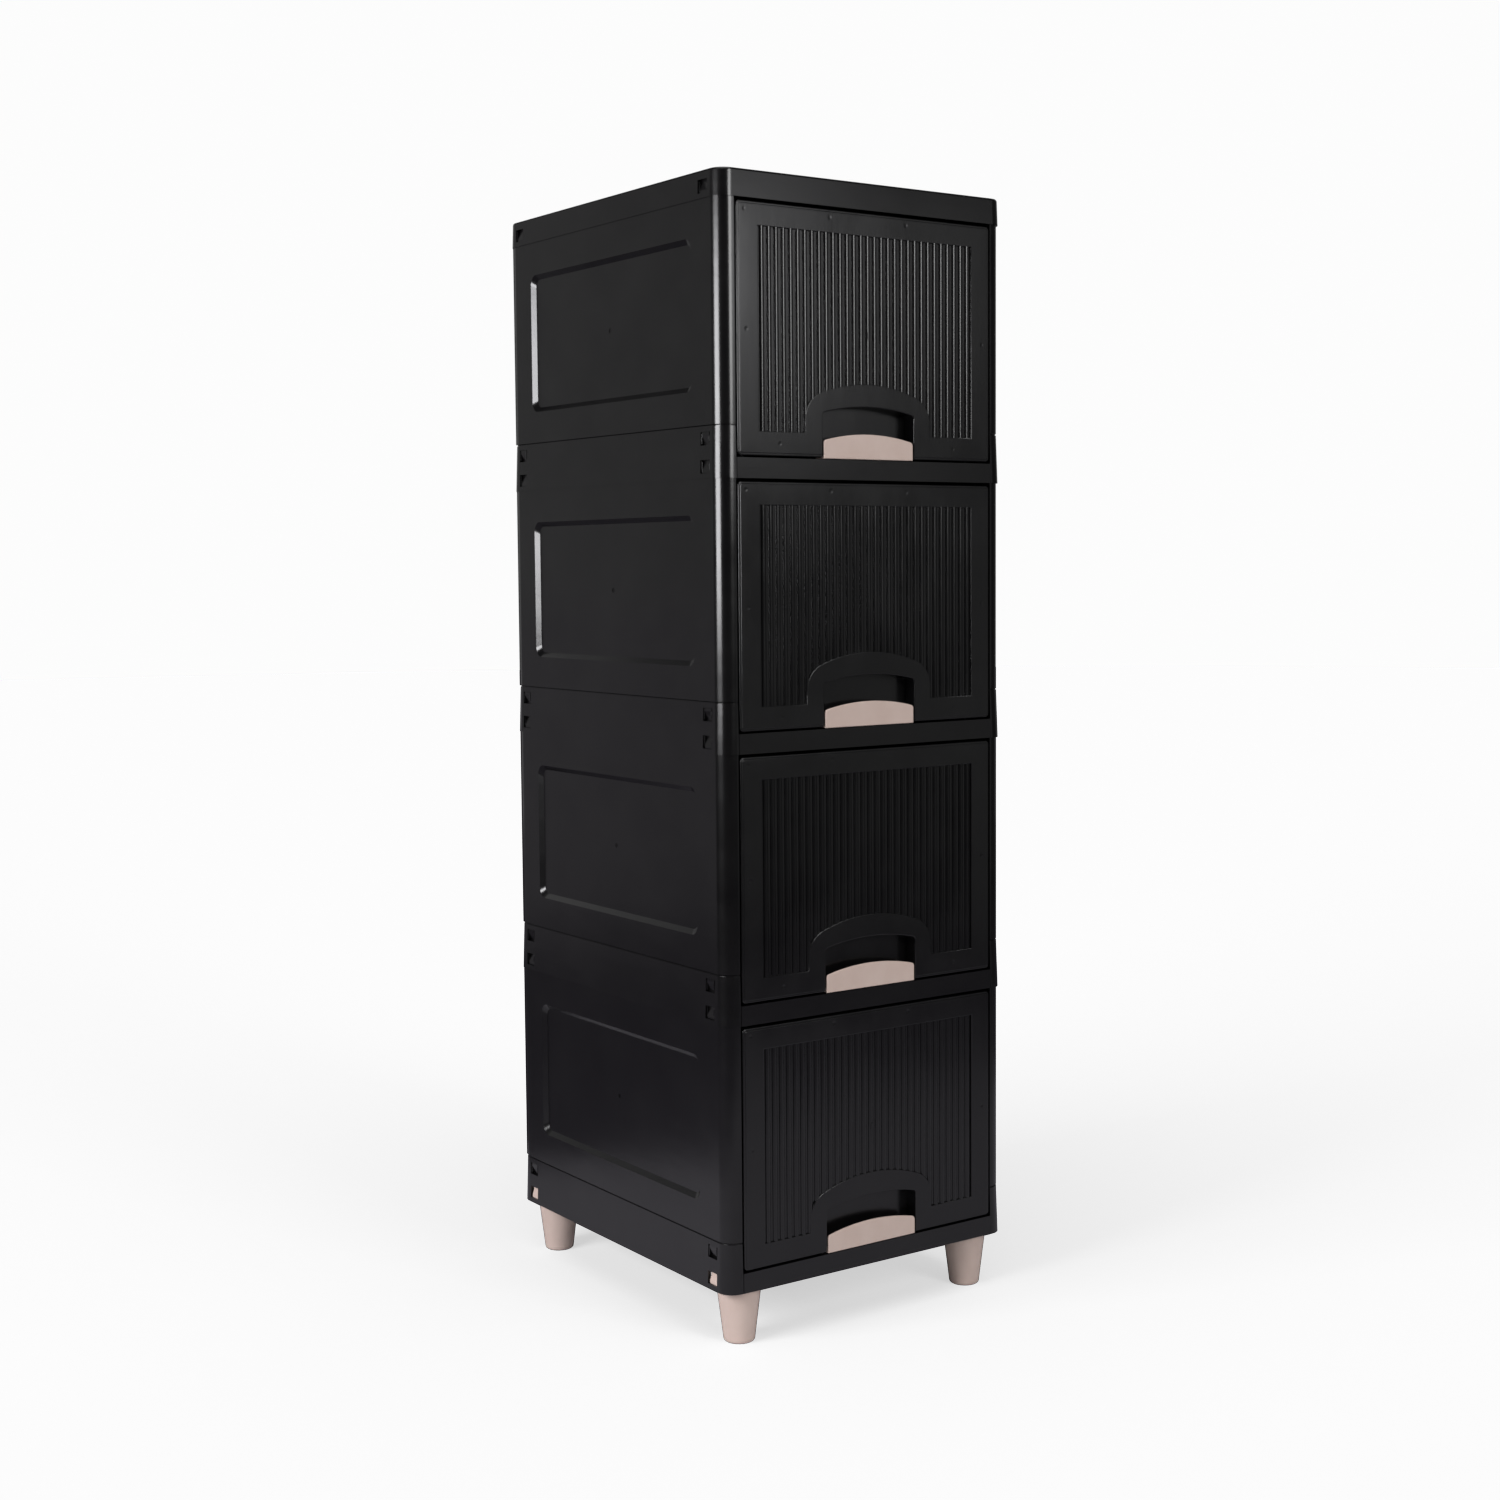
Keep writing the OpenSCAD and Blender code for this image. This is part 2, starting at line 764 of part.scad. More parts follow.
// Tray: an open box on two skids, with a rim and two stop lugs
module drawer_tray() {
    tray_d = tray_back - tray_front;
    mid_y = (tray_back + tray_front) / 2;
    floor_z = tray_z + skid_h;
    color(drawer_black)
        difference() {
            union() {
                translate([0, mid_y, floor_z])
                    linear_extrude(tray_top - floor_z)
                        plate(2 * tray_hw, tray_d, tray_r);
                translate([0, mid_y - rim_w / 2, tray_top - tray_wall])
                    linear_extrude(tray_wall)
                        plate(2 * tray_hw + 2 * rim_w, tray_d - rim_w, tray_r);
                both_sides() {
                    translate([tray_hw - skid_in - skid_w, tray_front + tray_r, tray_z])
                        cube([skid_w, tray_d - 2 * tray_r, skid_h + eps]);
                    translate([0, 0, lug_z])
                        linear_extrude(lug_h)
                            polygon([
                                [tray_hw - eps, tray_lug_y], [tray_hw + lug_reach, tray_lug_y],
                                [tray_hw - eps, tray_lug_y + lug_l]
                            ]);
                }
            }
            translate([0, mid_y, floor_z + tray_floor])
                linear_extrude(tray_top)
                    plate(2 * (tray_hw - tray_wall), tray_d - 2 * tray_wall, tray_r - tray_wall);
            translate([0, 0, drawer_z])
                clip_places()
                    translate([-clip_w / 2 - tab_gap, tray_front - 1, -clip_t / 2 - tab_gap])
                        cube([clip_w + 2 * tab_gap, tray_wall + 2, clip_t + 2 * tab_gap]);
        }
}

// Places of the clips that hold the front to the tray, from the lower edge of the front
module clip_places() {
    both_sides() {
        translate([clip_top_x, 0, front_h - clip_in])
            children();
        translate([clip_low_x, 0, clip_in + clip_t])
            children();
        translate([front_hw - clip_in, 0, front_h / 2])
            rotate([0, -90, 0])
                children();
    }
}

// Clip that runs back through the tray's wall and hooks over it
module clip() {
    clip_l = front_d - skin_t + tray_wall + tab_gap + clip_t;
    translate([-clip_w / 2, face_y + skin_t - eps, -clip_t / 2])
        cube([clip_w, clip_l + eps, clip_t]);
    translate([-clip_w / 2, face_y + skin_t + clip_l - clip_t, -clip_t / 2])
        cube([clip_w, clip_t, clip_t + clip_hook]);
}

// Half-round ribs over the whole field; the arch and the border cover their ends
module reeding() {
    floor_y = face_y + reed_d;
    intersection() {
        slab(face_y, floor_y + 1)
            translate([-reed_hw, reed_bottom])
                square([2 * reed_hw, front_h - reed_top - reed_bottom]);
        translate([0, 0, reed_bottom - 1])
            linear_extrude(front_h - reed_top - reed_bottom + 2)
                for (i = [0:reeds - 1])
                    translate([(i - (reeds - 1) / 2) * reed_pitch, face_y + reed_r])
                        circle(reed_r, $fn = 48);
    }
}

// Drawer front: a hollow moulding with a reeded field, a plain arch and a finger pocket
module drawer_front() {
    pocket_y = face_y + grip_d;
    shell_back = face_y + front_d;
    color(drawer_black)
        difference() {
            union() {
                difference() {
                    union() {
                        slab(face_y + step_d, shell_back)
                            front_outline(0);
                        slab(face_y, face_y + step_d + eps)
                            front_outline(step_w);
                    }
                    slab(face_y + skin_t, shell_back + 1)
                        front_outline(front_skin);
                    slab(face_y - 1, face_y + reed_d)
                        translate([-reed_hw, reed_bottom])
                            square([2 * reed_hw, front_h - reed_top - reed_bottom]);
                }
                reeding();
                slab(face_y, face_y + reed_d + eps)
                    arch_outline();
                slab(face_y + skin_t - eps, pocket_y + grip_wall)
                    intersection() {
                        arched(grip_hw + grip_wall, grip_side_h + grip_wall, grip_mid_h + grip_wall,
                               grip_corner_r + grip_wall);
                        front_outline(0);
                    }
                clip_places()
                    clip();
            }
            slab(front_y - 1, pocket_y)
                arched(grip_hw, grip_side_h, grip_mid_h, grip_corner_r);
            translate([0, face_y, front_h / 2])
                rotate([90, 0, 0])
                    gate_sink();
        }
}

// Handle: a rose lip with an arched top, on a floor that closes the pocket, with two rear lugs
module handle() {
    lug_back = face_y + grip_d - tab_gap;
    color(rose) {
        slab(front_y, front_y + lip_t)
            intersection() {
                translate([0, -lip_drop])
                    arched(lip_hw, lip_side_h, lip_mid_h, grip_corner_r);
                translate([-lip_hw, -lip_drop])
                    square([2 * lip_hw, lip_mid_h]);
            }
        translate([-lip_hw, front_y, -lip_drop])
            cube([2 * lip_hw, lug_back - front_y, lip_floor_t]);
        for (x = [-1, 1])
            translate([x * lip_lug_x - lip_lug_w / 2, lug_back - lip_floor_t, -lip_drop])
                cube([lip_lug_w, lip_floor_t, lip_lug_h]);
    }
}

// ---- Feet ----

// Foot on the right, on its own axis: a cone, then inside the frame a flange, a spigot and a tab
module foot() {
    tab_in = tab_x - cab_w / 2 + foot_in;
    color(rose) {
        cylinder(d1 = foot_bottom_d, d2 = foot_top_d, h = foot_h);
        translate([0, 0, foot_h - eps]) {
            linear_extrude(flange_t + eps) {
                circle(flange_r);
                translate([0, -tab_w / 2])
                    square([tab_in, tab_w]);
            }
            cylinder(d = spigot_d, h = flange_t + spigot_h);
        }
        translate([tab_in - tab_x, 0, foot_h - eps])
            tab();
    }
}

// Feet stand with their tabs in the side slots; the left pair is the right pair turned round
module foot_right(end) {
    translate([cab_w / 2 - foot_in, plan_y + end * slot_y, 0])
        foot();
}

module foot_left(end) {
    translate([-cab_w / 2 + foot_in, plan_y + end * slot_y, 0])
        rotate([0, 0, 180])
            foot();
}

// ---- Assembly ----

translate([0, 0, lid_z]) lid();
for (t = [1:tiers]) {
    translate([0, 0, frame_z(t)]) frame();
    translate([0, 0, panel_z(t)]) left_panel();
    translate([0, 0, panel_z(t)]) right_panel();
    translate([0, 0, panel_z(t)]) back_panel();
    translate([0, 0, frame_z(t)]) drawer_tray();
    translate([0, 0, frame_z(t) + drawer_z]) drawer_front();
    translate([0, 0, frame_z(t) + drawer_z]) handle();
}
foot_left(-1);  // foot_front_left
foot_right(-1);  // foot_front_right
foot_left(1);  // foot_rear_left
foot_right(1);  // foot_rear_right
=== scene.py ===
"""A tall tower of four black plastic drawers on rose feet: its fine shapes, its finishes and its studio.

Sizes of pieces are in millimetres and those of lights and camera in metres, in the tower's own frame: X is the
width, -Y the front, +Z up, and the origin lies on the floor under the middle of the tower. Tiers are counted from
the top.
"""

import logging
import math
from collections.abc import Callable, Iterable, Sequence
from dataclasses import dataclass, field
from enum import Enum

import bmesh
import bpy
from mathutils import Matrix, Vector


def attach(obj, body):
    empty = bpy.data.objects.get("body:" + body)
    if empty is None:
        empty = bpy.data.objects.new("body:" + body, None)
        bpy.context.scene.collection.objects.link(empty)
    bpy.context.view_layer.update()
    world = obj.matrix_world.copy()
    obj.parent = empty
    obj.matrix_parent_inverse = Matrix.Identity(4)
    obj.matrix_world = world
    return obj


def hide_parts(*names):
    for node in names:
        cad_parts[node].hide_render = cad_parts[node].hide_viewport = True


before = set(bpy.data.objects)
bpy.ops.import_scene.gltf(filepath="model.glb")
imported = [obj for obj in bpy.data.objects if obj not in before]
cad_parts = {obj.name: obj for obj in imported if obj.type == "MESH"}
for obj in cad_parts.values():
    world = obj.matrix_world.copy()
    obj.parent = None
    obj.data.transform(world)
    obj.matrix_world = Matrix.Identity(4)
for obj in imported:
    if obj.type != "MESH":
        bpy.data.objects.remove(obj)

log = logging.getLogger("drawer_tower")

MM = 0.001  # metres in a millimetre
TIERS = 4
PITCH = 268.0  # from one tier to the next
FOOT_HEIGHT = 57.0
FRAME_HEIGHT = 50.0
FRONT_LIFT = 22.0  # from the underside of a frame to the lower edge of its drawer front
PLAN_Y = 0.4  # middle of the cabinet's plan
WALL = (177.3, 206.9, 377.0)  # just inside the outer wall: its X, its Y, and the sum of both at a corner
SLOT_ROWS = (5.0, 32.0)  # from the underside of a frame to the lower edges of its snap slots
WHITE = (1.0, 1.0, 1.0, 1.0)

Point = tuple[float, float]
Triple = tuple[float, float, float]
Loop = list[Point]
EdgeTest = Callable[[Vector, Vector], bool]


class Side(Enum):
    """Side of the tower, with the sign of its X."""

    LEFT = -1
    RIGHT = 1

    @property
    def word(self) -> str:
        """The side's name as node names have it."""
        return self.name.lower()


class End(Enum):
    """Front or rear of the tower, with the sign of its Y."""

    FRONT = -1
    REAR = 1

    @property
    def word(self) -> str:
        """The end's name as node names have it."""
        return self.name.lower()


def frame_z(tier: int) -> float:
    """Height of the underside of a tier's frame."""
    return FOOT_HEIGHT + (TIERS - tier) * PITCH


def frame_name(tier: int) -> str:
    """Name of the frame that carries a tier."""
    return "base_frame" if tier == TIERS else f"shelf_frame_{tier}"


def near(value: float, target: float, tolerance: float = 0.15) -> bool:
    """Whether a coordinate lies at a given one."""
    return abs(value - target) < tolerance


def on_wall(p: Vector) -> bool:
    """Whether a point lies on the cabinet's outer wall, its rounded corners included."""
    x, y = abs(p.x), abs(p.y - PLAN_Y)
    return x > WALL[0] or y > WALL[1] or x + y > WALL[2]


def at_rim(a: Vector, b: Vector, z: float) -> bool:
    """Whether an edge runs round the cabinet's outer wall at a height."""
    return all(near(p.z, z) and on_wall(p) for p in (a, b))


# ---- Outlines in the X-Z plane ----


def arc(cx: float, cz: float, radius: float, start: float, stop: float, steps: int) -> Loop:
    """Points along a circular arc.

    Args:
        cx: X of the centre.
        cz: Z of the centre.
        radius: Radius of the arc.
        start: First angle in degrees, from +X towards +Z.
        stop: Last angle in degrees.
        steps: Number of segments.

    Returns:
        The points, both ends included.
    """
    angles = [math.radians(start + (stop - start) * i / steps) for i in range(steps + 1)]
    return [(cx + radius * math.cos(a), cz + radius * math.sin(a)) for a in angles]


def offset_loop(loop: Sequence[Point], inset: float, least: float = 0.35) -> Loop:
    """Moves an outline to its left by a distance, with mitred corners.

    Args:
        loop: Closed outline with the plastic on its left.
        inset: Distance by which it moves into the plastic.
        least: Smallest divisor of a mitre, which keeps a sharp corner from shooting out.

    Returns:
        The moved outline, point for point.
    """
    moved: Loop = []
    for i, here in enumerate(loop):
        before, after = Vector(loop[i - 1]), Vector(loop[(i + 1) % len(loop)])
        a, b = (Vector(here) - before).normalized(), (after - Vector(here)).normalized()
        na, nb = Vector((-a.y, a.x)), Vector((-b.y, b.x))
        mitre = (na + nb) / max(1.0 + na.dot(nb), least)
        moved.append((here[0] + mitre.x * inset, here[1] + mitre.y * inset))
    return moved


# ---- Meshes ----


def mark_crisp(bm: bmesh.types.BMesh, sharp_above: float = 34.0) -> None:
    """Shades a mesh smoothly between its crisp edges.

    Args:
        bm: The mesh.
        sharp_above: Angle in degrees over which an edge stays crisp.
    """
    bm.normal_update()
    for face in bm.faces:
        face.smooth = True
    for edge in bm.edges:
        edge.smooth = edge.is_manifold and edge.calc_face_angle(math.pi) < math.radians(sharp_above)


def new_mesh_object(name: str, bm: bmesh.types.BMesh) -> bpy.types.Object:
    """Turns a bmesh in millimetres into an object at the origin, in metres.

    Args:
        name: Name of the object.
        bm: The mesh, which is freed.

    Returns:
        The new object, linked to the scene.
    """
    bmesh.ops.scale(bm, vec=(MM, MM, MM), verts=bm.verts)
    mark_crisp(bm)
    mesh = bpy.data.meshes.new(name)
    bm.to_mesh(mesh)
    bm.free()
    thing = bpy.data.objects.new(name, mesh)
    bpy.context.scene.collection.objects.link(thing)
    return thing


def join_into(target: bmesh.types.BMesh, part: bmesh.types.BMesh) -> None:
    """Copies one bmesh into another and frees it.

    Args:
        target: The mesh that grows.
        part: The mesh that is added.
    """
    mesh = bpy.data.meshes.new("part")
    part.to_mesh(mesh)
    part.free()
    target.from_mesh(mesh)
    bpy.data.meshes.remove(mesh)


def fill(bm: bmesh.types.BMesh, rings: Iterable[list[bmesh.types.BMVert]]) -> None:
    """Closes one flat area that is bounded by several rings.

    Args:
        bm: The mesh.
        rings: The rings of vertices, the outer one and its holes.
    """
    edges = []
    for ring in rings:
        for i, vert in enumerate(ring):
            edge = bm.edges.get((ring[i - 1], vert)) or bm.edges.new((ring[i - 1], vert))
            edges.append(edge)
    bmesh.ops.triangle_fill(bm, use_beauty=True, edges=edges)


def plate(loops: Sequence[Loop], front: float, back: float, rounding: float, steps: int = 4,
          back_rounding: float = 0.0) -> bmesh.types.BMesh:
    """Flat moulded plate that faces the front, with its edges rounded.

    Args:
        loops: Outer outline anticlockwise as seen from the front, then the holes clockwise.
        front: Y of the face.
        back: Y of the rear.
        rounding: Radius along the front edges.
        steps: Segments across that radius.
        back_rounding: Radius along the rear edges.

    Returns:
        The closed plate, in millimetres.
    """
    bm = bmesh.new()
    levels: list[Point] = []
    for i in range(steps + 1):
        a = math.pi / 2 * (1 - i / steps)
        levels.append((rounding * (1 - math.cos(a)), front + rounding * (1 - math.sin(a))))
    if back_rounding:
        for i in range(steps + 1):
            a = math.pi / 2 * i / steps
            levels.append((back_rounding * (1 - math.cos(a)), back - back_rounding * (1 - math.sin(a))))
    else:
        levels.append((0.0, back))
    fronts, backs = [], []
    for loop in loops:
        rings = []
        for inset, y in levels:
            moved = offset_loop(loop, inset) if inset else loop
            rings.append([bm.verts.new((x, y, z)) for x, z in moved])
        for ring, behind in zip(rings, rings[1:]):
            for i in range(len(ring)):
                bm.faces.new((ring[i - 1], ring[i], behind[i], behind[i - 1]))
        fronts.append(rings[0])
        backs.append(rings[-1])
    fill(bm, fronts)
    fill(bm, backs)
    bmesh.ops.recalc_face_normals(bm, faces=bm.faces)
    return bm


def block(low: Sequence[float], high: Sequence[float], rounding: float) -> bmesh.types.BMesh:
    """Small box with rounded edges.

    Args:
        low: Lowest corner.
        high: Highest corner.
        rounding: Width of the rounding on every edge.

    Returns:
        The box, in millimetres.
    """
    bm = bmesh.new()
    size = Vector(high) - Vector(low)
    place = Matrix.Translation((Vector(low) + Vector(high)) / 2) @ Matrix.Diagonal((*size, 1.0))
    bmesh.ops.create_cube(bm, size=1.0, matrix=place)
    bmesh.ops.bevel(bm, geom=bm.edges[:], offset=rounding, segments=2, profile=0.5, affect="EDGES")
    return bm


def merged_copy(node: str, weld: float = 0.004, flat: float = 0.3) -> bmesh.types.BMesh:
    """Copy of a CAD node as one clean closed mesh, in millimetres.

    Args:
        node: Name of the node.
        weld: Distance under which vertices are merged.
        flat: Angle in degrees under which faces are joined.

    Returns:
        The copy, with its loose triangles merged and its flat areas joined.
    """
    bm = bmesh.new()
    bm.from_mesh(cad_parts[node].data)
    bmesh.ops.scale(bm, vec=(1 / MM,) * 3, verts=bm.verts)
    bmesh.ops.remove_doubles(bm, verts=bm.verts, dist=weld)
    bmesh.ops.dissolve_limit(bm, angle_limit=math.radians(flat), verts=bm.verts, edges=bm.edges, delimit=set())
    for face in bm.faces:
        face.normal_update()
    return bm


def round_edges(bm: bmesh.types.BMesh, test: EdgeTest, width: float, steps: int = 2, sharp: float = 20.0) -> None:
    """Rounds the sharp edges that pass a test.

    Args:
        bm: The mesh, in millimetres.
        test: Takes an edge's two ends and says whether it is rounded.
        width: How far the rounding reaches along either face.
        steps: Segments across the rounding.
        sharp: Angle in degrees over which an edge is sharp.
    """
    edges = [
        e for e in bm.edges
        if e.is_manifold and e.calc_face_angle(0.0) > math.radians(sharp) and test(e.verts[0].co, e.verts[1].co)
    ]
    if edges:
        bmesh.ops.bevel(bm, geom=edges, offset=width, offset_type="OFFSET", segments=steps, profile=0.5,
                        affect="EDGES", clamp_overlap=True, loop_slide=True)


def keep_behind(bm: bmesh.types.BMesh, y: float) -> None:
    """Cuts a mesh at a plane across Y, drops what is in front of it and closes the cut.

    Args:
        bm: The mesh, in millimetres.
        y: Y of the plane.
    """
    cut = bmesh.ops.bisect_plane(bm, geom=bm.verts[:] + bm.edges[:] + bm.faces[:], dist=0.001,
                                 plane_co=(0, y, 0), plane_no=(0, 1, 0), clear_inner=True)["geom_cut"]
    bmesh.ops.triangle_fill(bm, use_beauty=True, edges=[g for g in cut if isinstance(g, bmesh.types.BMEdge)])
    bmesh.ops.recalc_face_normals(bm, faces=bm.faces)


def true_flats(thing: bpy.types.Object) -> None:
    """Keeps the flats of a piece flat in the light, next to its rounded edges."""
    weighted = thing.modifiers.new("true_flats", "WEIGHTED_NORMAL")
    weighted.mode = "FACE_AREA"
    weighted.keep_sharp = True
    weighted.weight = 100


def settle(thing: bpy.types.Object) -> bpy.types.Object:
    """Replaces a piece's mesh by what its modifiers make of it, and removes them.

    Args:
        thing: The piece.

    Returns:
        The same piece, with a plain mesh.
    """
    graph = bpy.context.evaluated_depsgraph_get()
    made = bpy.data.meshes.new_from_object(thing.evaluated_get(graph), preserve_all_data_layers=True,
                                           depsgraph=graph)
    old = thing.data
    thing.modifiers.clear()
    thing.data = made
    made.name = thing.name
    if old.users == 0:
        bpy.data.meshes.remove(old)
    bm = bmesh.new()
    bm.from_mesh(made)
    mark_crisp(bm)
    bm.to_mesh(made)
    bm.free()
    return thing


# ---- Finishes ----


class Board:
    """Adds nodes to a node tree and joins them."""

    def __init__(self, tree: bpy.types.NodeTree) -> None:
        """Empties the tree.

        Args:
            tree: The tree that it works on.
        """
        self.tree = tree
        tree.nodes.clear()

    def node(self, kind: str, inputs: dict[str, object] | None = None, **settings: object) -> bpy.types.Node:
        """Adds a node.

        Args:
            kind: The node's type.
            inputs: Numbers or sockets for its inputs, by name.
            **settings: Attributes to set on it.

        Returns:
            The node.
        """
        made = self.tree.nodes.new(kind)
        for key, value in settings.items():
            setattr(made, key, value)
        for key, value in (inputs or {}).items():
            self.feed(made.inputs[key], value)
        return made

    def feed(self, socket: bpy.types.NodeSocket, value: object) -> None:
        """Sets a socket to a number, or joins it to another socket."""
        if isinstance(value, bpy.types.NodeSocket):
            self.tree.links.new(value, socket)
        else:
            socket.default_value = value

    def math(self, operation: str, *values: object) -> bpy.types.NodeSocket:
        """Adds a Math node.

        Args:
            operation: The node's operation.
            *values: Numbers or sockets for its inputs.

        Returns:
            Its output.
        """
        made = self.node("ShaderNodeMath", operation=operation)
        for socket, value in zip(made.inputs, values):
            self.feed(socket, value)
        return made.outputs[0]

    def split(self, vector: bpy.types.NodeSocket) -> bpy.types.NodeOutputs:
        """Splits a vector into its X, Y and Z."""
        return self.node("ShaderNodeSeparateXYZ", {"Vector": vector}).outputs


class Wiring(Board):
    """Builds the nodes of one material."""

    def __init__(self, name: str) -> None:
        """Starts a material with a shader, its output and Object coordinates.

        Args:
            name: Name of the material.
        """
        self.material = bpy.data.materials.new(name)
        self.material.use_nodes = True
        super().__init__(self.material.node_tree)
        self.shader = self.node("ShaderNodeBsdfPrincipled")
        self.node("ShaderNodeOutputMaterial", {"Surface": self.shader.outputs["BSDF"]})
        self.place = self.node("ShaderNodeTexCoord").outputs["Object"]

    def surface(self, inputs: dict[str, object]) -> bpy.types.Material:
        """Feeds the shader and hands the material over.

        Args:
            inputs: Numbers or sockets for the shader's inputs, by name.

        Returns:
            The material.
        """
        for key, value in inputs.items():
            self.feed(self.shader.inputs[key], value)
        return self.material

    def stretched(self, scale: Triple) -> bpy.types.NodeSocket:
        """Object coordinates, stretched along each axis by its own factor."""
        return self.node("ShaderNodeMapping", {"Scale": scale, "Vector": self.place}).outputs["Vector"]

    def noise(self, scale: float, detail: float = 2.0, rough: float = 0.5,
              place: bpy.types.NodeSocket | None = None) -> bpy.types.NodeSocket:
        """Cloudy pattern in space.

        Args:
            scale: Cells per metre.
            detail: Octaves.
            rough: Share that each octave adds.
            place: Coordinates, or None for Object coordinates.

        Returns:
            The pattern, about 0.5 in the mean.
        """
        made = self.node("ShaderNodeTexNoise", {"Scale": scale, "Detail": detail, "Roughness": rough,
                                                "Vector": place or self.place})
        return made.outputs["Fac"]

    def spread(self, value: bpy.types.NodeSocket, low: float, high: float, to_low: float = 0.0,
               to_high: float = 1.0) -> bpy.types.NodeSocket:
        """Maps a range onto another and clamps it.

        Args:
            value: The pattern.
            low: Value that becomes to_low.
            high: Value that becomes to_high.
            to_low: Result at low.
            to_high: Result at high.

        Returns:
            The mapped pattern.
        """
        made = self.node("ShaderNodeMapRange", {"Value": value, "From Min": low, "From Max": high,
                                                "To Min": to_low, "To Max": to_high})
        return made.outputs["Result"]

    def blend(self, share: bpy.types.NodeSocket, first: Triple, second: Triple) -> bpy.types.NodeSocket:
        """Mixes two colours by a pattern.

        Args:
            share: The pattern.
            first: Colour where it is 0.
            second: Colour where it is 1.

        Returns:
            The mixed colour.
        """
        made = self.node("ShaderNodeMix", {"Factor": share, "A": (*first, 1.0), "B": (*second, 1.0)}, data_type="RGBA")
        return made.outputs["Result"]

    def bump(self, height: bpy.types.NodeSocket, depth: float, strength: float,
             under: bpy.types.NodeSocket | None = None) -> bpy.types.NodeSocket:
        """Relief from a height pattern.

        Args:
            height: The pattern.
            depth: Height in metres of a pattern of 1.
            strength: Share of it that counts.
            under: Relief that this one lies on.

        Returns:
            The bent normal.
        """
        inputs: dict[str, object] = {"Distance": depth, "Strength": strength, "Height": height}
        if under is not None:
            inputs["Normal"] = under
        return self.node("ShaderNodeBump", inputs).outputs["Normal"]


@dataclass(frozen=True)
class MouldedBlack:
    """Semi-gloss black plastic of the cabinet, with the faint flow of the melt and a fine pebble.

    The cells fields count a pattern's cells per metre, and the relief fields give a height in metres and the share
    of it that counts.
    """

    name: str = "moulded_black"
    colour: Triple = (0.0024, 0.0022, 0.0025)
    worn: Triple = (0.0042, 0.0040, 0.0042)
    worn_range: Point = (0.38, 0.68)
    gloss_level: float = 0.5
    roughness: Point = (0.17, 0.23)
    cloud_cells: float = 14.0
    flow_cells: float = 9.0
    flow_stretch: Triple = (1.0, 1.0, 3.2)
    flow_range: Point = (0.3, 0.7)
    flow_relief: Point = (0.0006, 0.25)
    pebble_cells: float = 900.0
    pebble_relief: Point = (0.00003, 0.25)

    def build(self) -> bpy.types.Material:
        """Makes the material.

        Returns:
            The material.
        """
        w = Wiring(self.name)
        clouds = w.noise(self.cloud_cells, detail=4.0, rough=0.6)
        flow = w.noise(self.flow_cells, detail=3.0, rough=0.55, place=w.stretched(self.flow_stretch))
        pebble = w.bump(w.noise(self.pebble_cells, rough=0.6), *self.pebble_relief)
        return w.surface({
            "Base Color": w.blend(w.spread(clouds, *self.worn_range), self.colour, self.worn),
            "Roughness": w.spread(flow, *self.flow_range, *self.roughness),
            "Specular IOR Level": self.gloss_level,
            "Normal": w.bump(flow, *self.flow_relief, pebble),
        })


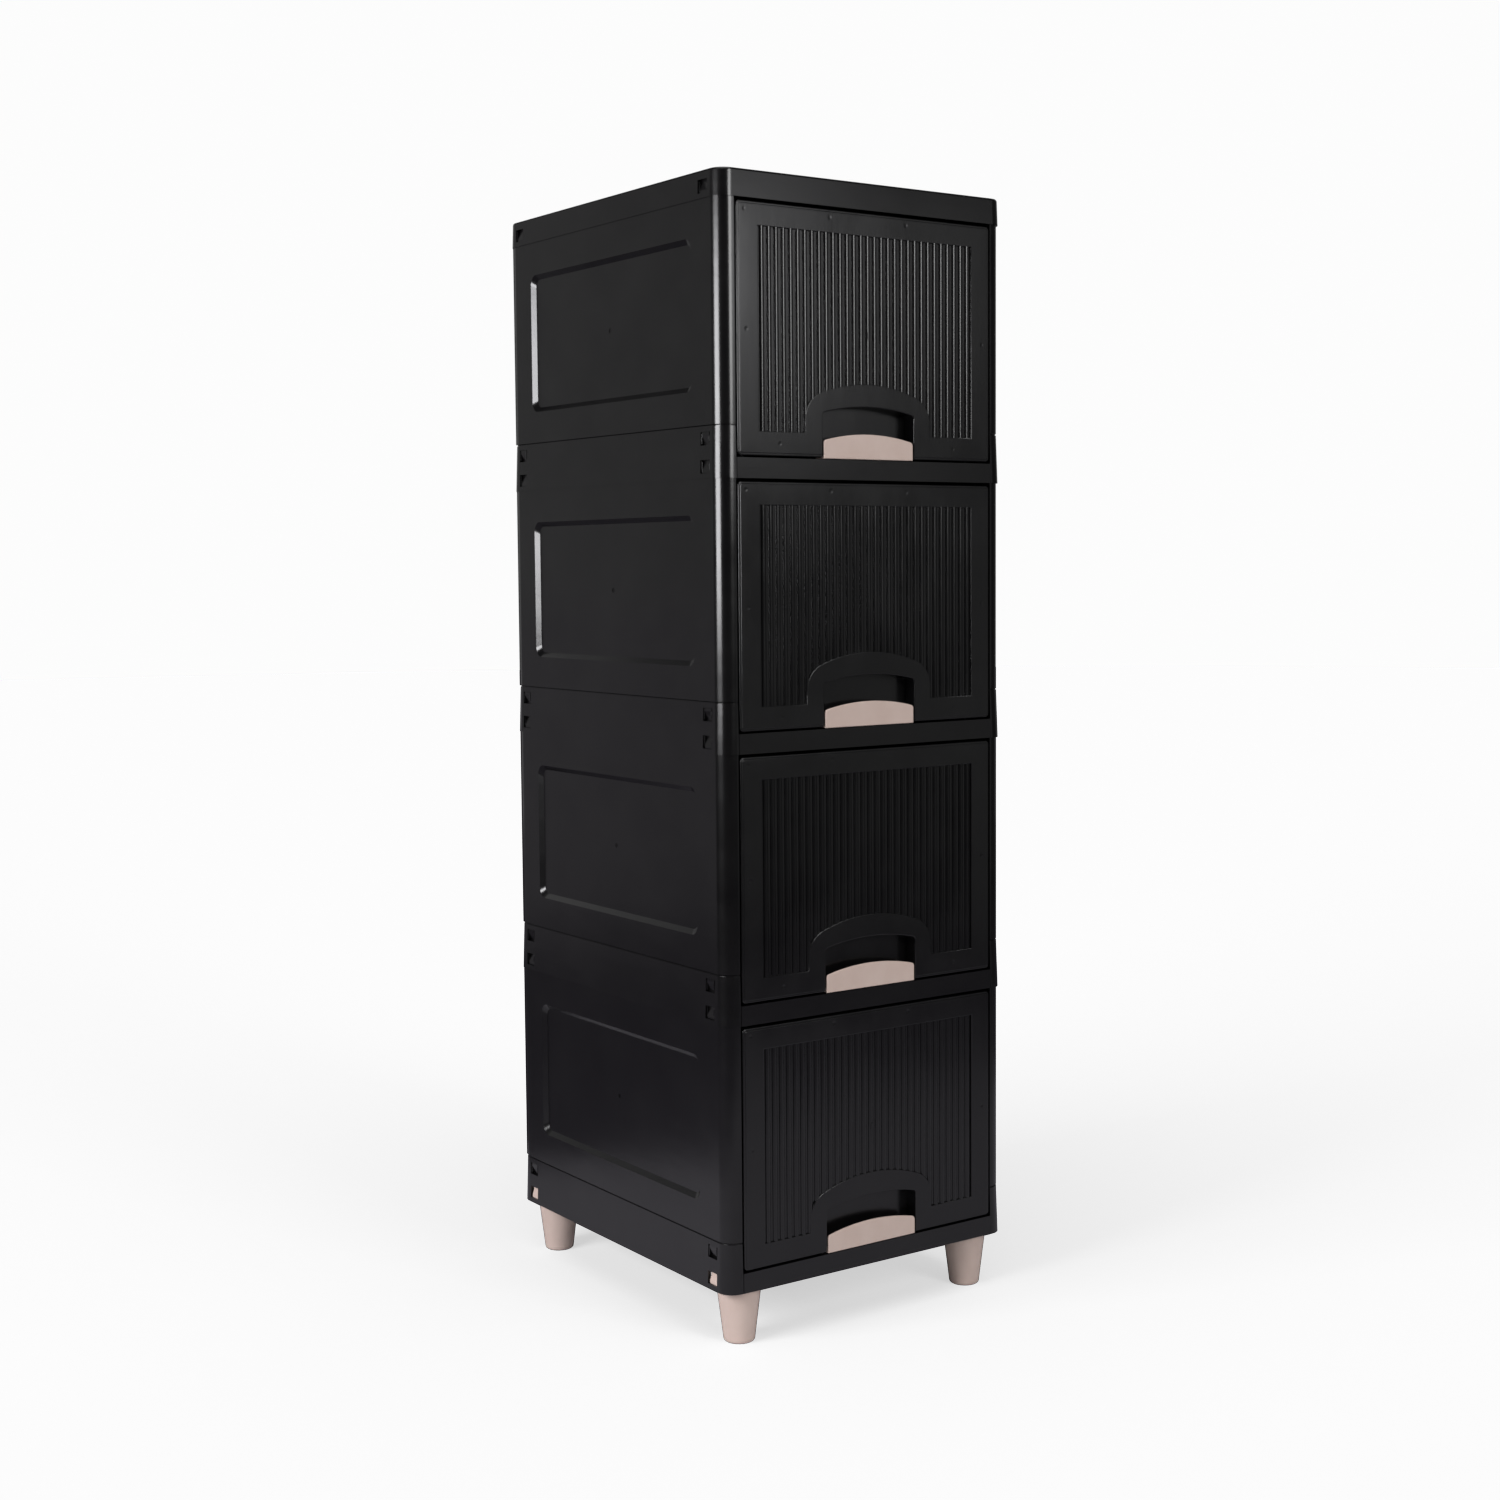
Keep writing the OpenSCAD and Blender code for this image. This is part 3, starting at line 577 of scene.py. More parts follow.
@dataclass(frozen=True)
class DrawerBlack:
    """Satin black plastic of the drawers, with sink marks where the clips and the rim stand behind the face.

    The fields are those of the cabinet's plastic. A sink is the X and the height over a tier's underside of a dip's
    middle, and its radius.
    """

    name: str = "drawer_black"
    colour: Triple = (0.0026, 0.0025, 0.0028)
    worn: Triple = (0.0048, 0.0047, 0.0049)
    worn_range: Point = (0.38, 0.68)
    gloss_level: float = 0.5
    roughness: Point = (0.18, 0.25)
    cloud_cells: float = 16.0
    cloud_share: float = 0.4
    flow_cells: float = 11.0
    flow_share: float = 0.6
    flow_stretch: Triple = (2.4, 1.0, 0.8)
    flow_range: Point = (0.4, 0.62)
    flow_relief: Point = (0.0006, 0.3)
    pebble_cells: float = 1100.0
    pebble_relief: Point = (0.00003, 0.4)
    sinks: tuple[Triple, ...] = (
        (-48.0, 257.0, 3.0), (48.0, 257.0, 3.0), (-149.0, 143.0, 2.6), (149.0, 143.0, 2.6), (-151.0, 257.0, 2.4),
        (110.0, 34.0, 2.4), (-110.0, 34.0, 2.4),
    )
    sink_relief: Point = (0.0002, 0.8)
    sink_sharpness: float = 1.8

    def build(self) -> bpy.types.Material:
        """Makes the material.

        Returns:
            The material.
        """
        w = Wiring(self.name)
        clouds = w.noise(self.cloud_cells, detail=4.0, rough=0.6)
        flow = w.noise(self.flow_cells, detail=3.0, rough=0.55, place=w.stretched(self.flow_stretch))
        patches = w.math("MULTIPLY_ADD", flow, self.flow_share, w.math("MULTIPLY", clouds, self.cloud_share))
        pebble = w.bump(w.noise(self.pebble_cells, rough=0.6), *self.pebble_relief)
        waves = w.bump(flow, *self.flow_relief, pebble)
        return w.surface({
            "Base Color": w.blend(w.spread(clouds, *self.worn_range), self.colour, self.worn),
            "Roughness": w.spread(patches, *self.flow_range, *self.roughness),
            "Specular IOR Level": self.gloss_level,
            "Normal": w.bump(self.sink_height(w), *self.sink_relief, waves),
        })

    def sink_height(self, w: Wiring) -> bpy.types.NodeSocket:
        """Shallow round dips, the same on every tier.

        Args:
            w: The material's board.

        Returns:
            Height, 0 on the face and -1 in the middle of a dip.
        """
        apart = w.split(w.place)
        level = w.math("FLOORED_MODULO", w.math("SUBTRACT", apart["Z"], FOOT_HEIGHT * MM), PITCH * MM)
        total: object = 0.0
        for x, z, radius in self.sinks:
            dx = w.math("SUBTRACT", apart["X"], x * MM)
            dz = w.math("SUBTRACT", level, z * MM)
            squares = w.math("MULTIPLY_ADD", dx, dx, w.math("MULTIPLY", dz, dz))
            dip = w.spread(squares, 0.0, (radius * MM) ** 2, 1.0, 0.0)
            total = w.math("SUBTRACT", total, w.math("POWER", dip, self.sink_sharpness))
        return total


@dataclass(frozen=True)
class RosePlastic:
    """Dusty-rose satin plastic of the lips and the feet, clouded a little by the pigment.

    The fields are those of the cabinet's plastic.
    """

    name: str = "rose_plastic"
    colour: Triple = (0.575, 0.447, 0.394)
    pale: Triple = (0.612, 0.486, 0.433)
    gloss_level: float = 0.45
    roughness: Point = (0.38, 0.50)
    cloud_cells: float = 38.0
    cloud_range: Point = (0.35, 0.7)
    wave_cells: float = 120.0
    wave_relief: Point = (0.0001, 0.25)
    pebble_cells: float = 1400.0
    pebble_relief: Point = (0.00002, 0.4)

    def build(self) -> bpy.types.Material:
        """Makes the material.

        Returns:
            The material.
        """
        w = Wiring(self.name)
        clouds = w.noise(self.cloud_cells, detail=4.0, rough=0.6)
        pebble = w.bump(w.noise(self.pebble_cells, rough=0.6), *self.pebble_relief)
        return w.surface({
            "Base Color": w.blend(w.spread(clouds, *self.cloud_range), self.colour, self.pale),
            "Roughness": w.spread(clouds, *self.cloud_range, *self.roughness),
            "Specular IOR Level": self.gloss_level,
            "Normal": w.bump(w.noise(self.wave_cells), *self.wave_relief, pebble),
        })


@dataclass(frozen=True)
class StudioPaper:
    """Pale matte paper of the studio floor."""

    name: str = "studio_paper"
    colour: Triple = (0.84, 0.84, 0.845)
    glow: float = 0.0
    cloud_cells: float = 3.0
    cloud_shade: float = 0.99
    gloss_level: float = 0.1
    roughness: float = 0.9

    def build(self) -> bpy.types.Material:
        """Makes the material.

        Returns:
            The material.
        """
        w = Wiring(self.name)
        w.material.cycles.emission_sampling = "NONE"
        shaded = tuple(c * self.cloud_shade for c in self.colour)
        return w.surface({
            "Base Color": w.blend(w.noise(self.cloud_cells), self.colour, shaded),
            "Roughness": self.roughness,
            "Specular IOR Level": self.gloss_level,
            "Emission Color": WHITE,
            "Emission Strength": self.glow,
        })


@dataclass
class Finishes:
    """The finishes that the pieces share."""

    cabinet: bpy.types.Material
    drawer: bpy.types.Material
    rose: bpy.types.Material

    @classmethod
    def make(cls) -> "Finishes":
        """Builds all three."""
        return cls(MouldedBlack().build(), DrawerBlack().build(), RosePlastic().build())


def dress(thing: bpy.types.Object, material: bpy.types.Material, body: str, node: str) -> None:
    """Gives a piece its finish and its place in the assembly.

    Args:
        thing: The piece.
        material: Its finish.
        body: Name of the body that it moves with.
        node: CAD node that it stands for.
    """
    thing.data.materials.clear()
    thing.data.materials.append(material)
    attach(thing, body)
    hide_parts(node)
    log.info("%s: %d faces, on %s", thing.name, len(thing.data.polygons), body)


def finish_piece(name: str, bm: bmesh.types.BMesh, material: bpy.types.Material, body: str,
                 node: str) -> None:
    """Turns a mesh into a dressed piece.

    Args:
        name: Name of the piece.
        bm: Its mesh, in millimetres.
        material: Its finish.
        body: Name of the body that it moves with.
        node: CAD node that it stands for.
    """
    thing = new_mesh_object(name, bm)
    true_flats(thing)
    dress(thing, material, body, node)


# ---- Cabinet ----


@dataclass(frozen=True)
class SnapSlots:
    """What shows in the four snap slots of one row: a spring bar and a nub in each.

    The bar and the nub are given by their two Ys from the slot's middle and their two heights over its lower edge.
    """

    depths: Point = (176.2, 178.7)
    reach: float = 181.6
    bar: tuple[float, float, float, float] = (6.1, 7.5, 1.2, 11.8)
    bar_rounding: float = 0.5
    nub: tuple[float, float, float, float] = (-6.4, -3.8, 3.4, 9.6)
    nub_rounding: float = 0.6

    def add(self, bm: bmesh.types.BMesh, low: float) -> None:
        """Adds the bars and the nubs of one row.

        Args:
            bm: The mesh of the frame or the lid.
            low: Height of the slots' lower edge.
        """
        for side in Side:
            x0, x1 = sorted(side.value * depth for depth in self.depths)
            for end in End:
                y = PLAN_Y + end.value * self.reach
                for (y0, y1, z0, z1), rounding in ((self.bar, self.bar_rounding), (self.nub, self.nub_rounding)):
                    join_into(bm, block((x0, y + y0, low + z0), (x1, y + y1, low + z1), rounding))


@dataclass
class Lid:
    """Shallow lid with a softened lower edge and one snap slot near each corner."""

    finishes: Finishes
    z: float = FOOT_HEIGHT + TIERS * PITCH
    rim: float = 0.5

    def make(self) -> None:
        """Builds the lid."""
        bm = merged_copy("lid")
        round_edges(bm, lambda a, b: at_rim(a, b, self.z), self.rim)
        SnapSlots().add(bm, self.z + SLOT_ROWS[0])
        finish_piece("lid_shell", bm, self.finishes.cabinet, "cabinet", "lid")


@dataclass
class ShelfFrame:
    """Frame between two tiers, with its rail, runners and snap slots. The feet fill the base frame's lower slots."""

    finishes: Finishes
    tier: int
    rim: float = 0.6

    def make(self) -> None:
        """Builds the frame."""
        node, z = frame_name(self.tier), frame_z(self.tier)
        bm = merged_copy(node)
        round_edges(bm, lambda a, b: at_rim(a, b, z) or at_rim(a, b, z + FRAME_HEIGHT), self.rim)
        for row in SLOT_ROWS if self.tier < TIERS else SLOT_ROWS[1:]:
            SnapSlots().add(bm, z + row)
        finish_piece(f"{node}_shell", bm, self.finishes.cabinet, "cabinet", node)


@dataclass
class SidePanel:
    """Side panel with its corner posts and its sunk field."""

    finishes: Finishes
    side: Side
    tier: int
    half_width: float = 178.8
    field_depth: float = 4.0
    field_half: Point = (160.6, 75.0)
    field_core: float = 20.0
    soft: float = 1.3
    seam: float = 0.8
    seam_lift: float = 0.9

    def make(self) -> None:
        """Builds the panel."""
        node = f"{self.side.word}_panel_{self.tier}"
        bm = merged_copy(node)
        z = frame_z(self.tier) + FRAME_HEIGHT
        middle = z + (PITCH - FRAME_HEIGHT) / 2
        self.slope_seam(bm, z)
        round_edges(bm, lambda a, b: self.in_field(a, b, middle), self.soft, 3)
        finish_piece(f"{node}_shell", bm, self.finishes.cabinet, "cabinet", node)

    def slope_seam(self, bm: bmesh.types.BMesh, z: float) -> None:
        """Slopes the top of the groove over the frame, so that the seam reads as a dark line.

        Args:
            bm: The panel.
            z: Height of its lower edge.
        """
        outer = [
            vert for vert in bm.verts
            if near(vert.co.z, z + self.seam, 0.05)
            and all(edge.other_vert(vert).co.z > z + self.seam / 2 for edge in vert.link_edges)
        ]
        for vert in outer:
            vert.co.z += self.seam_lift

    def in_field(self, a: Vector, b: Vector, middle: float) -> bool:
        """Whether an edge bounds the slope of the sunk field."""
        return any(all(self.at_slope(p, x, middle) for p in (a, b))
                   for x in (self.half_width, self.half_width - self.field_depth))

    def at_slope(self, p: Vector, x: float, middle: float) -> bool:
        """Whether a point lies at a given X and round the sunk field, but not in its core."""
        dy, dz = abs(p.y - PLAN_Y), abs(p.z - middle)
        inside = dy < self.field_half[0] and dz < self.field_half[1] and max(dy, dz) > self.field_core
        return inside and near(abs(p.x), x, 0.06)


@dataclass
class BackPanel:
    """Back panel, which slides into the channels of the side panels."""

    finishes: Finishes
    tier: int

    def make(self) -> None:
        """Builds the panel."""
        node = f"back_panel_{self.tier}"
        finish_piece(f"{node}_shell", merged_copy(node), self.finishes.cabinet, "cabinet", node)


@dataclass
class Foot:
    """Tapered foot with a softly rounded sole."""

    finishes: Finishes
    end: End
    side: Side
    sole: float = 2.4

    def make(self) -> None:
        """Builds the foot."""
        node = f"foot_{self.end.word}_{self.side.word}"
        bm = merged_copy(node)
        round_edges(bm, lambda a, b: near(a.z, 0.0) and near(b.z, 0.0), self.sole, 4)
        finish_piece(f"{node}_leg", bm, self.finishes.rose, "cabinet", node)


# ---- Drawers ----


@dataclass(frozen=True)
class FrontShape:
    """Sizes of a drawer front, from its own lower edge."""

    face: float = -209.5
    half_width: float = 159.5
    height: float = 243.0
    corner: float = 4.0
    step_width: float = 2.2
    step_depth: float = 0.7
    field_half: float = 134.6
    field_low: float = 24.0
    field_high: float = 220.0
    field_depth: float = 2.0
    arch_half: float = 79.5
    arch_height: float = 74.0
    crown_radius: float = 170.0
    shoulder_radius: float = 28.0
    grip_half: float = 58.0
    grip_side: float = 44.0
    grip_middle: float = 51.0
    grip_corner: float = 3.5
    ribs: int = 31
    rib_radius: float = 3.3
    rib_edge: float = 4.85

    @property
    def rib_pitch(self) -> float:
        """Distance between two ribs."""
        return 2 * (self.field_half - self.rib_edge) / (self.ribs - 1)

    @property
    def shoulder_height(self) -> float:
        """Height of the centres of the arch's shoulders."""
        reach = self.arch_half - self.shoulder_radius
        return self.arch_height - self.crown_radius + math.sqrt(
            (self.crown_radius - self.shoulder_radius) ** 2 - reach ** 2)

    @property
    def crown_half(self) -> float:
        """Half width of the arch's flat crown."""
        return (self.arch_half - self.shoulder_radius) * self.crown_radius / (self.crown_radius - self.shoulder_radius)

    def notch(self, grow: float = 0.0) -> Loop:
        """Finger opening, from its lower right end over the top to its lower left end.

        Args:
            grow: How much wider it is drawn.

        Returns:
            The open outline.
        """
        return arched_top(self.grip_half + grow, self.grip_side + grow, self.grip_middle + grow,
                          self.grip_corner, 0.0)

    def outline(self, inset: float, grow: float = 0.0) -> Loop:
        """Outer edge of the front with the finger opening cut from below, anticlockwise.

        Args:
            inset: How far the outer edge is drawn in.
            grow: How much wider the finger opening is.

        Returns:
            The closed outline.
        """
        hw, low, high = self.half_width - inset, inset, self.height - inset
        r = max(self.corner - inset, 1.0)
        loop = [(self.grip_half + grow, low)]
        loop += arc(hw - r, low + r, r, -90, 0, 8) + arc(hw - r, high - r, r, 0, 90, 8)
        loop += arc(-hw + r, high - r, r, 90, 180, 8) + arc(-hw + r, low + r, r, 180, 270, 8)
        loop += [(-self.grip_half - grow, low)]
        return loop + self.notch(grow)[::-1][1:-1]

    def reed_field(self, grow: float = 0.0) -> Loop:
        """Edge of the sunk field above and beside the arch, clockwise.

        Args:
            grow: How much larger the field is drawn.

        Returns:
            The closed outline.
        """
        hw, low, high = self.field_half + grow, self.field_low - grow, self.field_high + grow
        reach, r, z = self.arch_half - self.shoulder_radius, self.shoulder_radius - grow, self.shoulder_height
        centre = self.arch_height - self.crown_radius
        tilt = math.degrees(math.atan2(reach, z - centre))
        arch = [(self.arch_half - grow, low)] + arc(reach, z, r, 0, 90 - tilt, 12)
        arch += arc(0, centre, self.crown_radius - grow, 90 - tilt, 90 + tilt, 28)[1:-1]
        arch += arc(-reach, z, r, 90 + tilt, 180, 12) + [(-self.arch_half + grow, low)]
        return [(hw, low)] + arch + [(-hw, low), (-hw, high), (hw, high)]


def arched_top(half: float, side: float, middle: float, corner: float, low: float) -> Loop:
    """Opening or lip with upright sides under a flat arc, from its lower right end round to its lower left end.

    Args:
        half: Half width.
        side: Height at the sides.
        middle: Height in the middle.
        corner: Radius of the upper corners.
        low: Height of the lower ends.

    Returns:
        The open outline.
    """
    rise = middle - side
    radius = (half * half + rise * rise) / (2 * rise)
    centre = middle - radius
    inner = half - corner
    height = centre + math.sqrt((radius - corner) ** 2 - inner ** 2)
    tilt = math.degrees(math.atan2(inner, height - centre))
    right = arc(inner, height, corner, 0, 90 - tilt, 5)
    top = arc(0, centre, radius, 90 - tilt, 90 + tilt, 24)[1:-1]
    left = arc(-inner, height, corner, 90 + tilt, 180, 5)
    return [(half, low)] + right + top + left + [(-half, low)]


class ReedingTree(Board):
    """Geometry Nodes tree that stands half-round ribs side by side over the arch."""

    SIZES: tuple[str, ...] = ("Pitch", "Radius", "Low", "High", "Y", "Arch half", "Arch height", "Crown radius",
                              "Shoulder radius", "Shoulder height", "Crown half")
    TUCK = 1.6  # rib radii by which a rib's foot reaches under the arch
    ARC_POINTS = 17
    WELD = 0.00001

    def __init__(self) -> None:
        """Builds the tree once."""
        super().__init__(bpy.data.node_groups.new("reeding", "GeometryNodeTree"))
        face = self.tree.interface
        face.new_socket("Geometry", in_out="OUTPUT", socket_type="NodeSocketGeometry")
        face.new_socket("Count", in_out="INPUT", socket_type="NodeSocketInt")
        for name in self.SIZES:
            face.new_socket(name, in_out="INPUT", socket_type="NodeSocketFloat")
        face.new_socket("Material", in_out="INPUT", socket_type="NodeSocketMaterial")
        self.inputs = self.node("NodeGroupInput")
        self.wire()

    def size(self, name: str) -> bpy.types.NodeSocket:
        """One of the tree's named inputs."""
        return self.inputs.outputs[name]

    def position(self) -> bpy.types.NodeOutputs:
        """The X, Y and Z of the points at hand."""
        return self.split(self.node("GeometryNodeInputPosition").outputs[0])

    def switch(self, test: bpy.types.NodeSocket, no: bpy.types.NodeSocket,
               yes: bpy.types.NodeSocket) -> bpy.types.NodeSocket:
        """Chooses between two numbers.

        Args:
            test: The choice.
            no: Value where it is false.
            yes: Value where it is true.

        Returns:
            The chosen value.
        """
        inputs = {"Switch": test, "False": no, "True": yes}
        return self.node("GeometryNodeSwitch", inputs, input_type="FLOAT").outputs[0]

    def vector(self, x: object, y: object, z: object) -> bpy.types.NodeSocket:
        """Joins three numbers or sockets to a vector."""
        return self.node("ShaderNodeCombineXYZ", {"X": x, "Y": y, "Z": z}).outputs[0]

    def foot_of_rib(self, x: bpy.types.NodeSocket) -> bpy.types.NodeSocket:
        """Height at which a rib starts: on the arch where that covers it, and else at the field's lower edge.

        Args:
            x: The rib's X.

        Returns:
            The height.
        """
        away = self.math("ABSOLUTE", x)
        crown_r, shoulder_r = self.size("Crown radius"), self.size("Shoulder radius")
        crown = self.math("SQRT", self.math("SUBTRACT", self.math("MULTIPLY", crown_r, crown_r),
                                            self.math("MULTIPLY", away, away)))
        crown = self.math("ADD", crown, self.math("SUBTRACT", self.size("Arch height"), crown_r))
        across = self.math("SUBTRACT", away, self.math("SUBTRACT", self.size("Arch half"), shoulder_r))
        inside = self.math("MAXIMUM", self.math("SUBTRACT", self.math("MULTIPLY", shoulder_r, shoulder_r),
                                                self.math("MULTIPLY", across, across)), 0.0)
        shoulder = self.math("ADD", self.size("Shoulder height"), self.math("SQRT", inside))
        arch = self.switch(self.math("GREATER_THAN", away, self.size("Crown half")), crown, shoulder)
        arch = self.math("SUBTRACT", arch, self.math("MULTIPLY", self.size("Radius"), self.TUCK))
        clear = self.math("GREATER_THAN", self.math("ADD", away, self.size("Radius")), self.size("Arch half"))
        return self.switch(clear, arch, self.size("Low"))

    def wire(self) -> None:
        """Joins the nodes: a row of points, a rib on each, cut to its height."""
        row = self.math("MULTIPLY", self.math("SUBTRACT", self.size("Count"), 1.0), self.size("Pitch"))
        line = self.node("GeometryNodeMeshLine", {
            "Count": self.size("Count"),
            "Start Location": self.vector(self.math("MULTIPLY", row, -0.5), self.size("Y"), 0.0),
            "Offset": self.vector(self.size("Pitch"), 0.0, 0.0),
        })
        low = self.foot_of_rib(self.position()["X"])
        lift = self.node("GeometryNodeSetPosition", {"Geometry": line.outputs["Mesh"],
                                                     "Offset": self.vector(0.0, 0.0, low)})
        length = self.math("SUBTRACT", self.size("High"), self.position()["Z"])
        stand = self.node("GeometryNodeInstanceOnPoints", {
            "Points": lift.outputs["Geometry"],
            "Instance": self.rib(),
            "Scale": self.vector(1.0, 1.0, length),
        })
        whole = self.node("GeometryNodeRealizeInstances", {"Geometry": stand.outputs["Instances"]})
        paint = self.node("GeometryNodeSetMaterial", {"Geometry": whole.outputs["Geometry"],
                                                      "Material": self.size("Material")})
        self.node("NodeGroupOutput", {"Geometry": paint.outputs["Geometry"]})

    def rib(self) -> bpy.types.NodeSocket:
        """One closed half-round rib of unit height.

        Returns:
            Its geometry.
        """
        half = self.node("GeometryNodeCurveArc", {
            "Resolution": self.ARC_POINTS, "Radius": self.size("Radius"), "Start Angle": math.pi,
            "Sweep Angle": math.pi, "Connect Center": True,
        })
        flat = self.node("GeometryNodeFillCurve", {"Curve": half.outputs["Curve"]}, mode="NGONS").outputs["Mesh"]
        raised = self.node("GeometryNodeExtrudeMesh", {
            "Mesh": flat, "Offset": self.vector(0.0, 0.0, 1.0), "Individual": False,
        })
        soft = self.node("GeometryNodeSetShadeSmooth", {"Geometry": raised.outputs["Mesh"],
                                                        "Selection": raised.outputs["Side"]})
        both = self.node("GeometryNodeJoinGeometry")
        for source in (self.node("GeometryNodeFlipFaces", {"Mesh": flat}).outputs["Mesh"], soft.outputs["Geometry"]):
            self.feed(both.inputs["Geometry"], source)
        merged = self.node("GeometryNodeMergeByDistance", {"Geometry": both.outputs["Geometry"],
                                                           "Distance": self.WELD})
        return merged.outputs["Geometry"]

    def make(self, name: str, values: dict[str, object]) -> bpy.types.Object:
        """Runs the tree once.

        Args:
            name: Name of the new piece.
            values: The tree's inputs by name.

        Returns:
            The piece as a plain mesh.
        """
        thing = bpy.data.objects.new(name, bpy.data.meshes.new(name))
        bpy.context.scene.collection.objects.link(thing)
        modifier = thing.modifiers.new("reeding", "NODES")
        modifier.node_group = self.tree
        for item in self.tree.interface.items_tree:
            if item.in_out == "INPUT":
                modifier[item.identifier] = values[item.name]
        return settle(thing)


@dataclass
class DrawerFront:
    """Front of a drawer: a stepped border, a reeded field, a plain arch, a finger pocket and a small gate nub."""

    finishes: Finishes
    reeding: ReedingTree
    tier: int
    shape: FrontShape = field(default_factory=FrontShape)
    edge: float = 0.9
    rim: float = 1.2
    cut: float = 2.05
    overlap: float = 0.06
    step_overlap: float = 0.3
    rib_overlap: float = 0.6
    gate_half: float = 1.3
    gate_heights: Point = (118.5, 125.5)
    gate_depths: Point = (-0.3, 3.0)
    gate_rounding: float = 0.5

    @property
    def z(self) -> float:
        """Height of the front's lower edge."""
        return frame_z(self.tier) + FRONT_LIFT

    def make(self) -> None:
        """Builds the front and its ribs."""
        self.shell()
        self.ribs()

    def shell(self) -> None:
        """Builds the moulded front without its ribs."""
        s, node = self.shape, f"drawer_front_{self.tier}"
        back = s.face + self.cut
        rear = merged_copy(node)
        keep_behind(rear, back)
        face = plate([s.outline(s.step_width), s.reed_field()], s.face, back, self.edge)
        step = plate([s.outline(0.0, self.overlap), s.reed_field(self.step_overlap)], s.face + s.step_depth, back,
                     self.rim, 5)
        low, high = ((x, s.face + y, z) for x, y, z in
                     zip((-self.gate_half, self.gate_half), self.gate_depths, self.gate_heights))
        for part in (face, step, block(low, high, self.gate_rounding)):
            bmesh.ops.translate(part, vec=(0, 0, self.z), verts=part.verts)
            join_into(rear, part)
        finish_piece(f"{node}_shell", rear, self.finishes.drawer, f"drawer_{self.tier}", node)

    def ribs(self) -> None:
        """Builds the half-round ribs of the field."""
        s, up, node = self.shape, self.z, f"drawer_front_{self.tier}"
        sizes = {
            "Pitch": s.rib_pitch, "Radius": s.rib_radius, "Low": s.field_low - self.rib_overlap + up,
            "High": s.field_high + self.rib_overlap + up, "Y": s.face + self.overlap + s.rib_radius,
            "Arch half": s.arch_half, "Arch height": s.arch_height + up, "Crown radius": s.crown_radius,
            "Shoulder radius": s.shoulder_radius, "Shoulder height": s.shoulder_height + up,
            "Crown half": s.crown_half,
        }
        values: dict[str, object] = {key: value * MM for key, value in sizes.items()}
        values.update({"Count": s.ribs, "Material": self.finishes.drawer})
        dress(self.reeding.make(f"{node}_ribs", values), self.finishes.drawer, f"drawer_{self.tier}",
              node)


@dataclass
class HandleLip:
    """Rose lip with an arched top and a soft rim, on the floor that closes the finger pocket."""

    finishes: Finishes
    tier: int
    front: float = -210.0
    thickness: float = 2.4
    half: float = 56.5
    side: float = 16.8
    middle: float = 23.8
    low: float = -1.2
    corner: float = 3.5
    rim: float = 1.1
    rear_rim: float = 0.5
    floor_start: float = 0.9
    floor_back: float = -194.8
    floor_thickness: float = 1.8
    lug_x: float = 40.0
    lug_half: float = 5.0
    lug_thickness: float = 1.8
    lug_height: float = 9.0
    soft: float = 0.4

    def make(self) -> None:
        """Builds the lip with its floor and its two rear lugs."""
        node, back, low = f"handle_{self.tier}", self.floor_back, self.low
        loop = arched_top(self.half, self.side, self.middle, self.corner, low)
        bm = plate([loop], self.front, self.front + self.thickness, self.rim, 5, self.rear_rim)
        join_into(bm, block((-self.half, self.front + self.floor_start, low),
                            (self.half, back, low + self.floor_thickness), self.soft))
        for x in (-self.lug_x, self.lug_x):
            join_into(bm, block((x - self.lug_half, back - self.lug_thickness, low),
                                (x + self.lug_half, back, low + self.lug_height), self.soft))
        bmesh.ops.translate(bm, vec=(0, 0, frame_z(self.tier) + FRONT_LIFT), verts=bm.verts)
        finish_piece(f"{node}_lip", bm, self.finishes.rose, f"drawer_{self.tier}", node)


@dataclass
class DrawerTray:
    """Open tray behind the front."""

    finishes: Finishes
    tier: int

    def make(self) -> None:
        """Builds the tray."""
        node = f"drawer_tray_{self.tier}"
        finish_piece(f"{node}_shell", merged_copy(node), self.finishes.drawer, f"drawer_{self.tier}",
                     node)


# ---- Studio ----


def area_light(name: str, width: float, height: float, power: float) -> bpy.types.Object:
    """Rectangular light that the camera doesn't see.

    Args:
        name: Name of the light.
        width: Its width in metres.
        height: Its height in metres.
        power: Its power in watts.

    Returns:
        The light object, at the origin and facing down.
    """
    lamp = bpy.data.lights.new(name, "AREA")
    lamp.shape = "RECTANGLE"
    lamp.size, lamp.size_y, lamp.energy = width, height, power
    thing = bpy.data.objects.new(name, lamp)
    bpy.context.scene.collection.objects.link(thing)
    thing.visible_camera = False
    return thing


@dataclass(frozen=True)
class Softbox:
    """One soft light: where it stands as seen from the tower, its size and how bright its face is.

    The azimuth is in degrees, from the front towards the right side.
    """

    name: str
    azimuth: float
    distance: float
    width: float
    low: float
    high: float
    radiance: float
    colour: Triple = (1.0, 1.0, 1.0)

    def make(self) -> None:
        """Sets up the light."""
        height = self.high - self.low
        thing = area_light(self.name, self.width, height, self.radiance * math.pi * self.width * height)
        thing.data.color = self.colour
        a = math.radians(self.azimuth)
        out = Vector((math.sin(a), -math.cos(a), 0.0))
        thing.location = out * self.distance + Vector((0, 0, (self.low + self.high) / 2))
        thing.rotation_euler = out.to_track_quat("Z", "Y").to_euler()


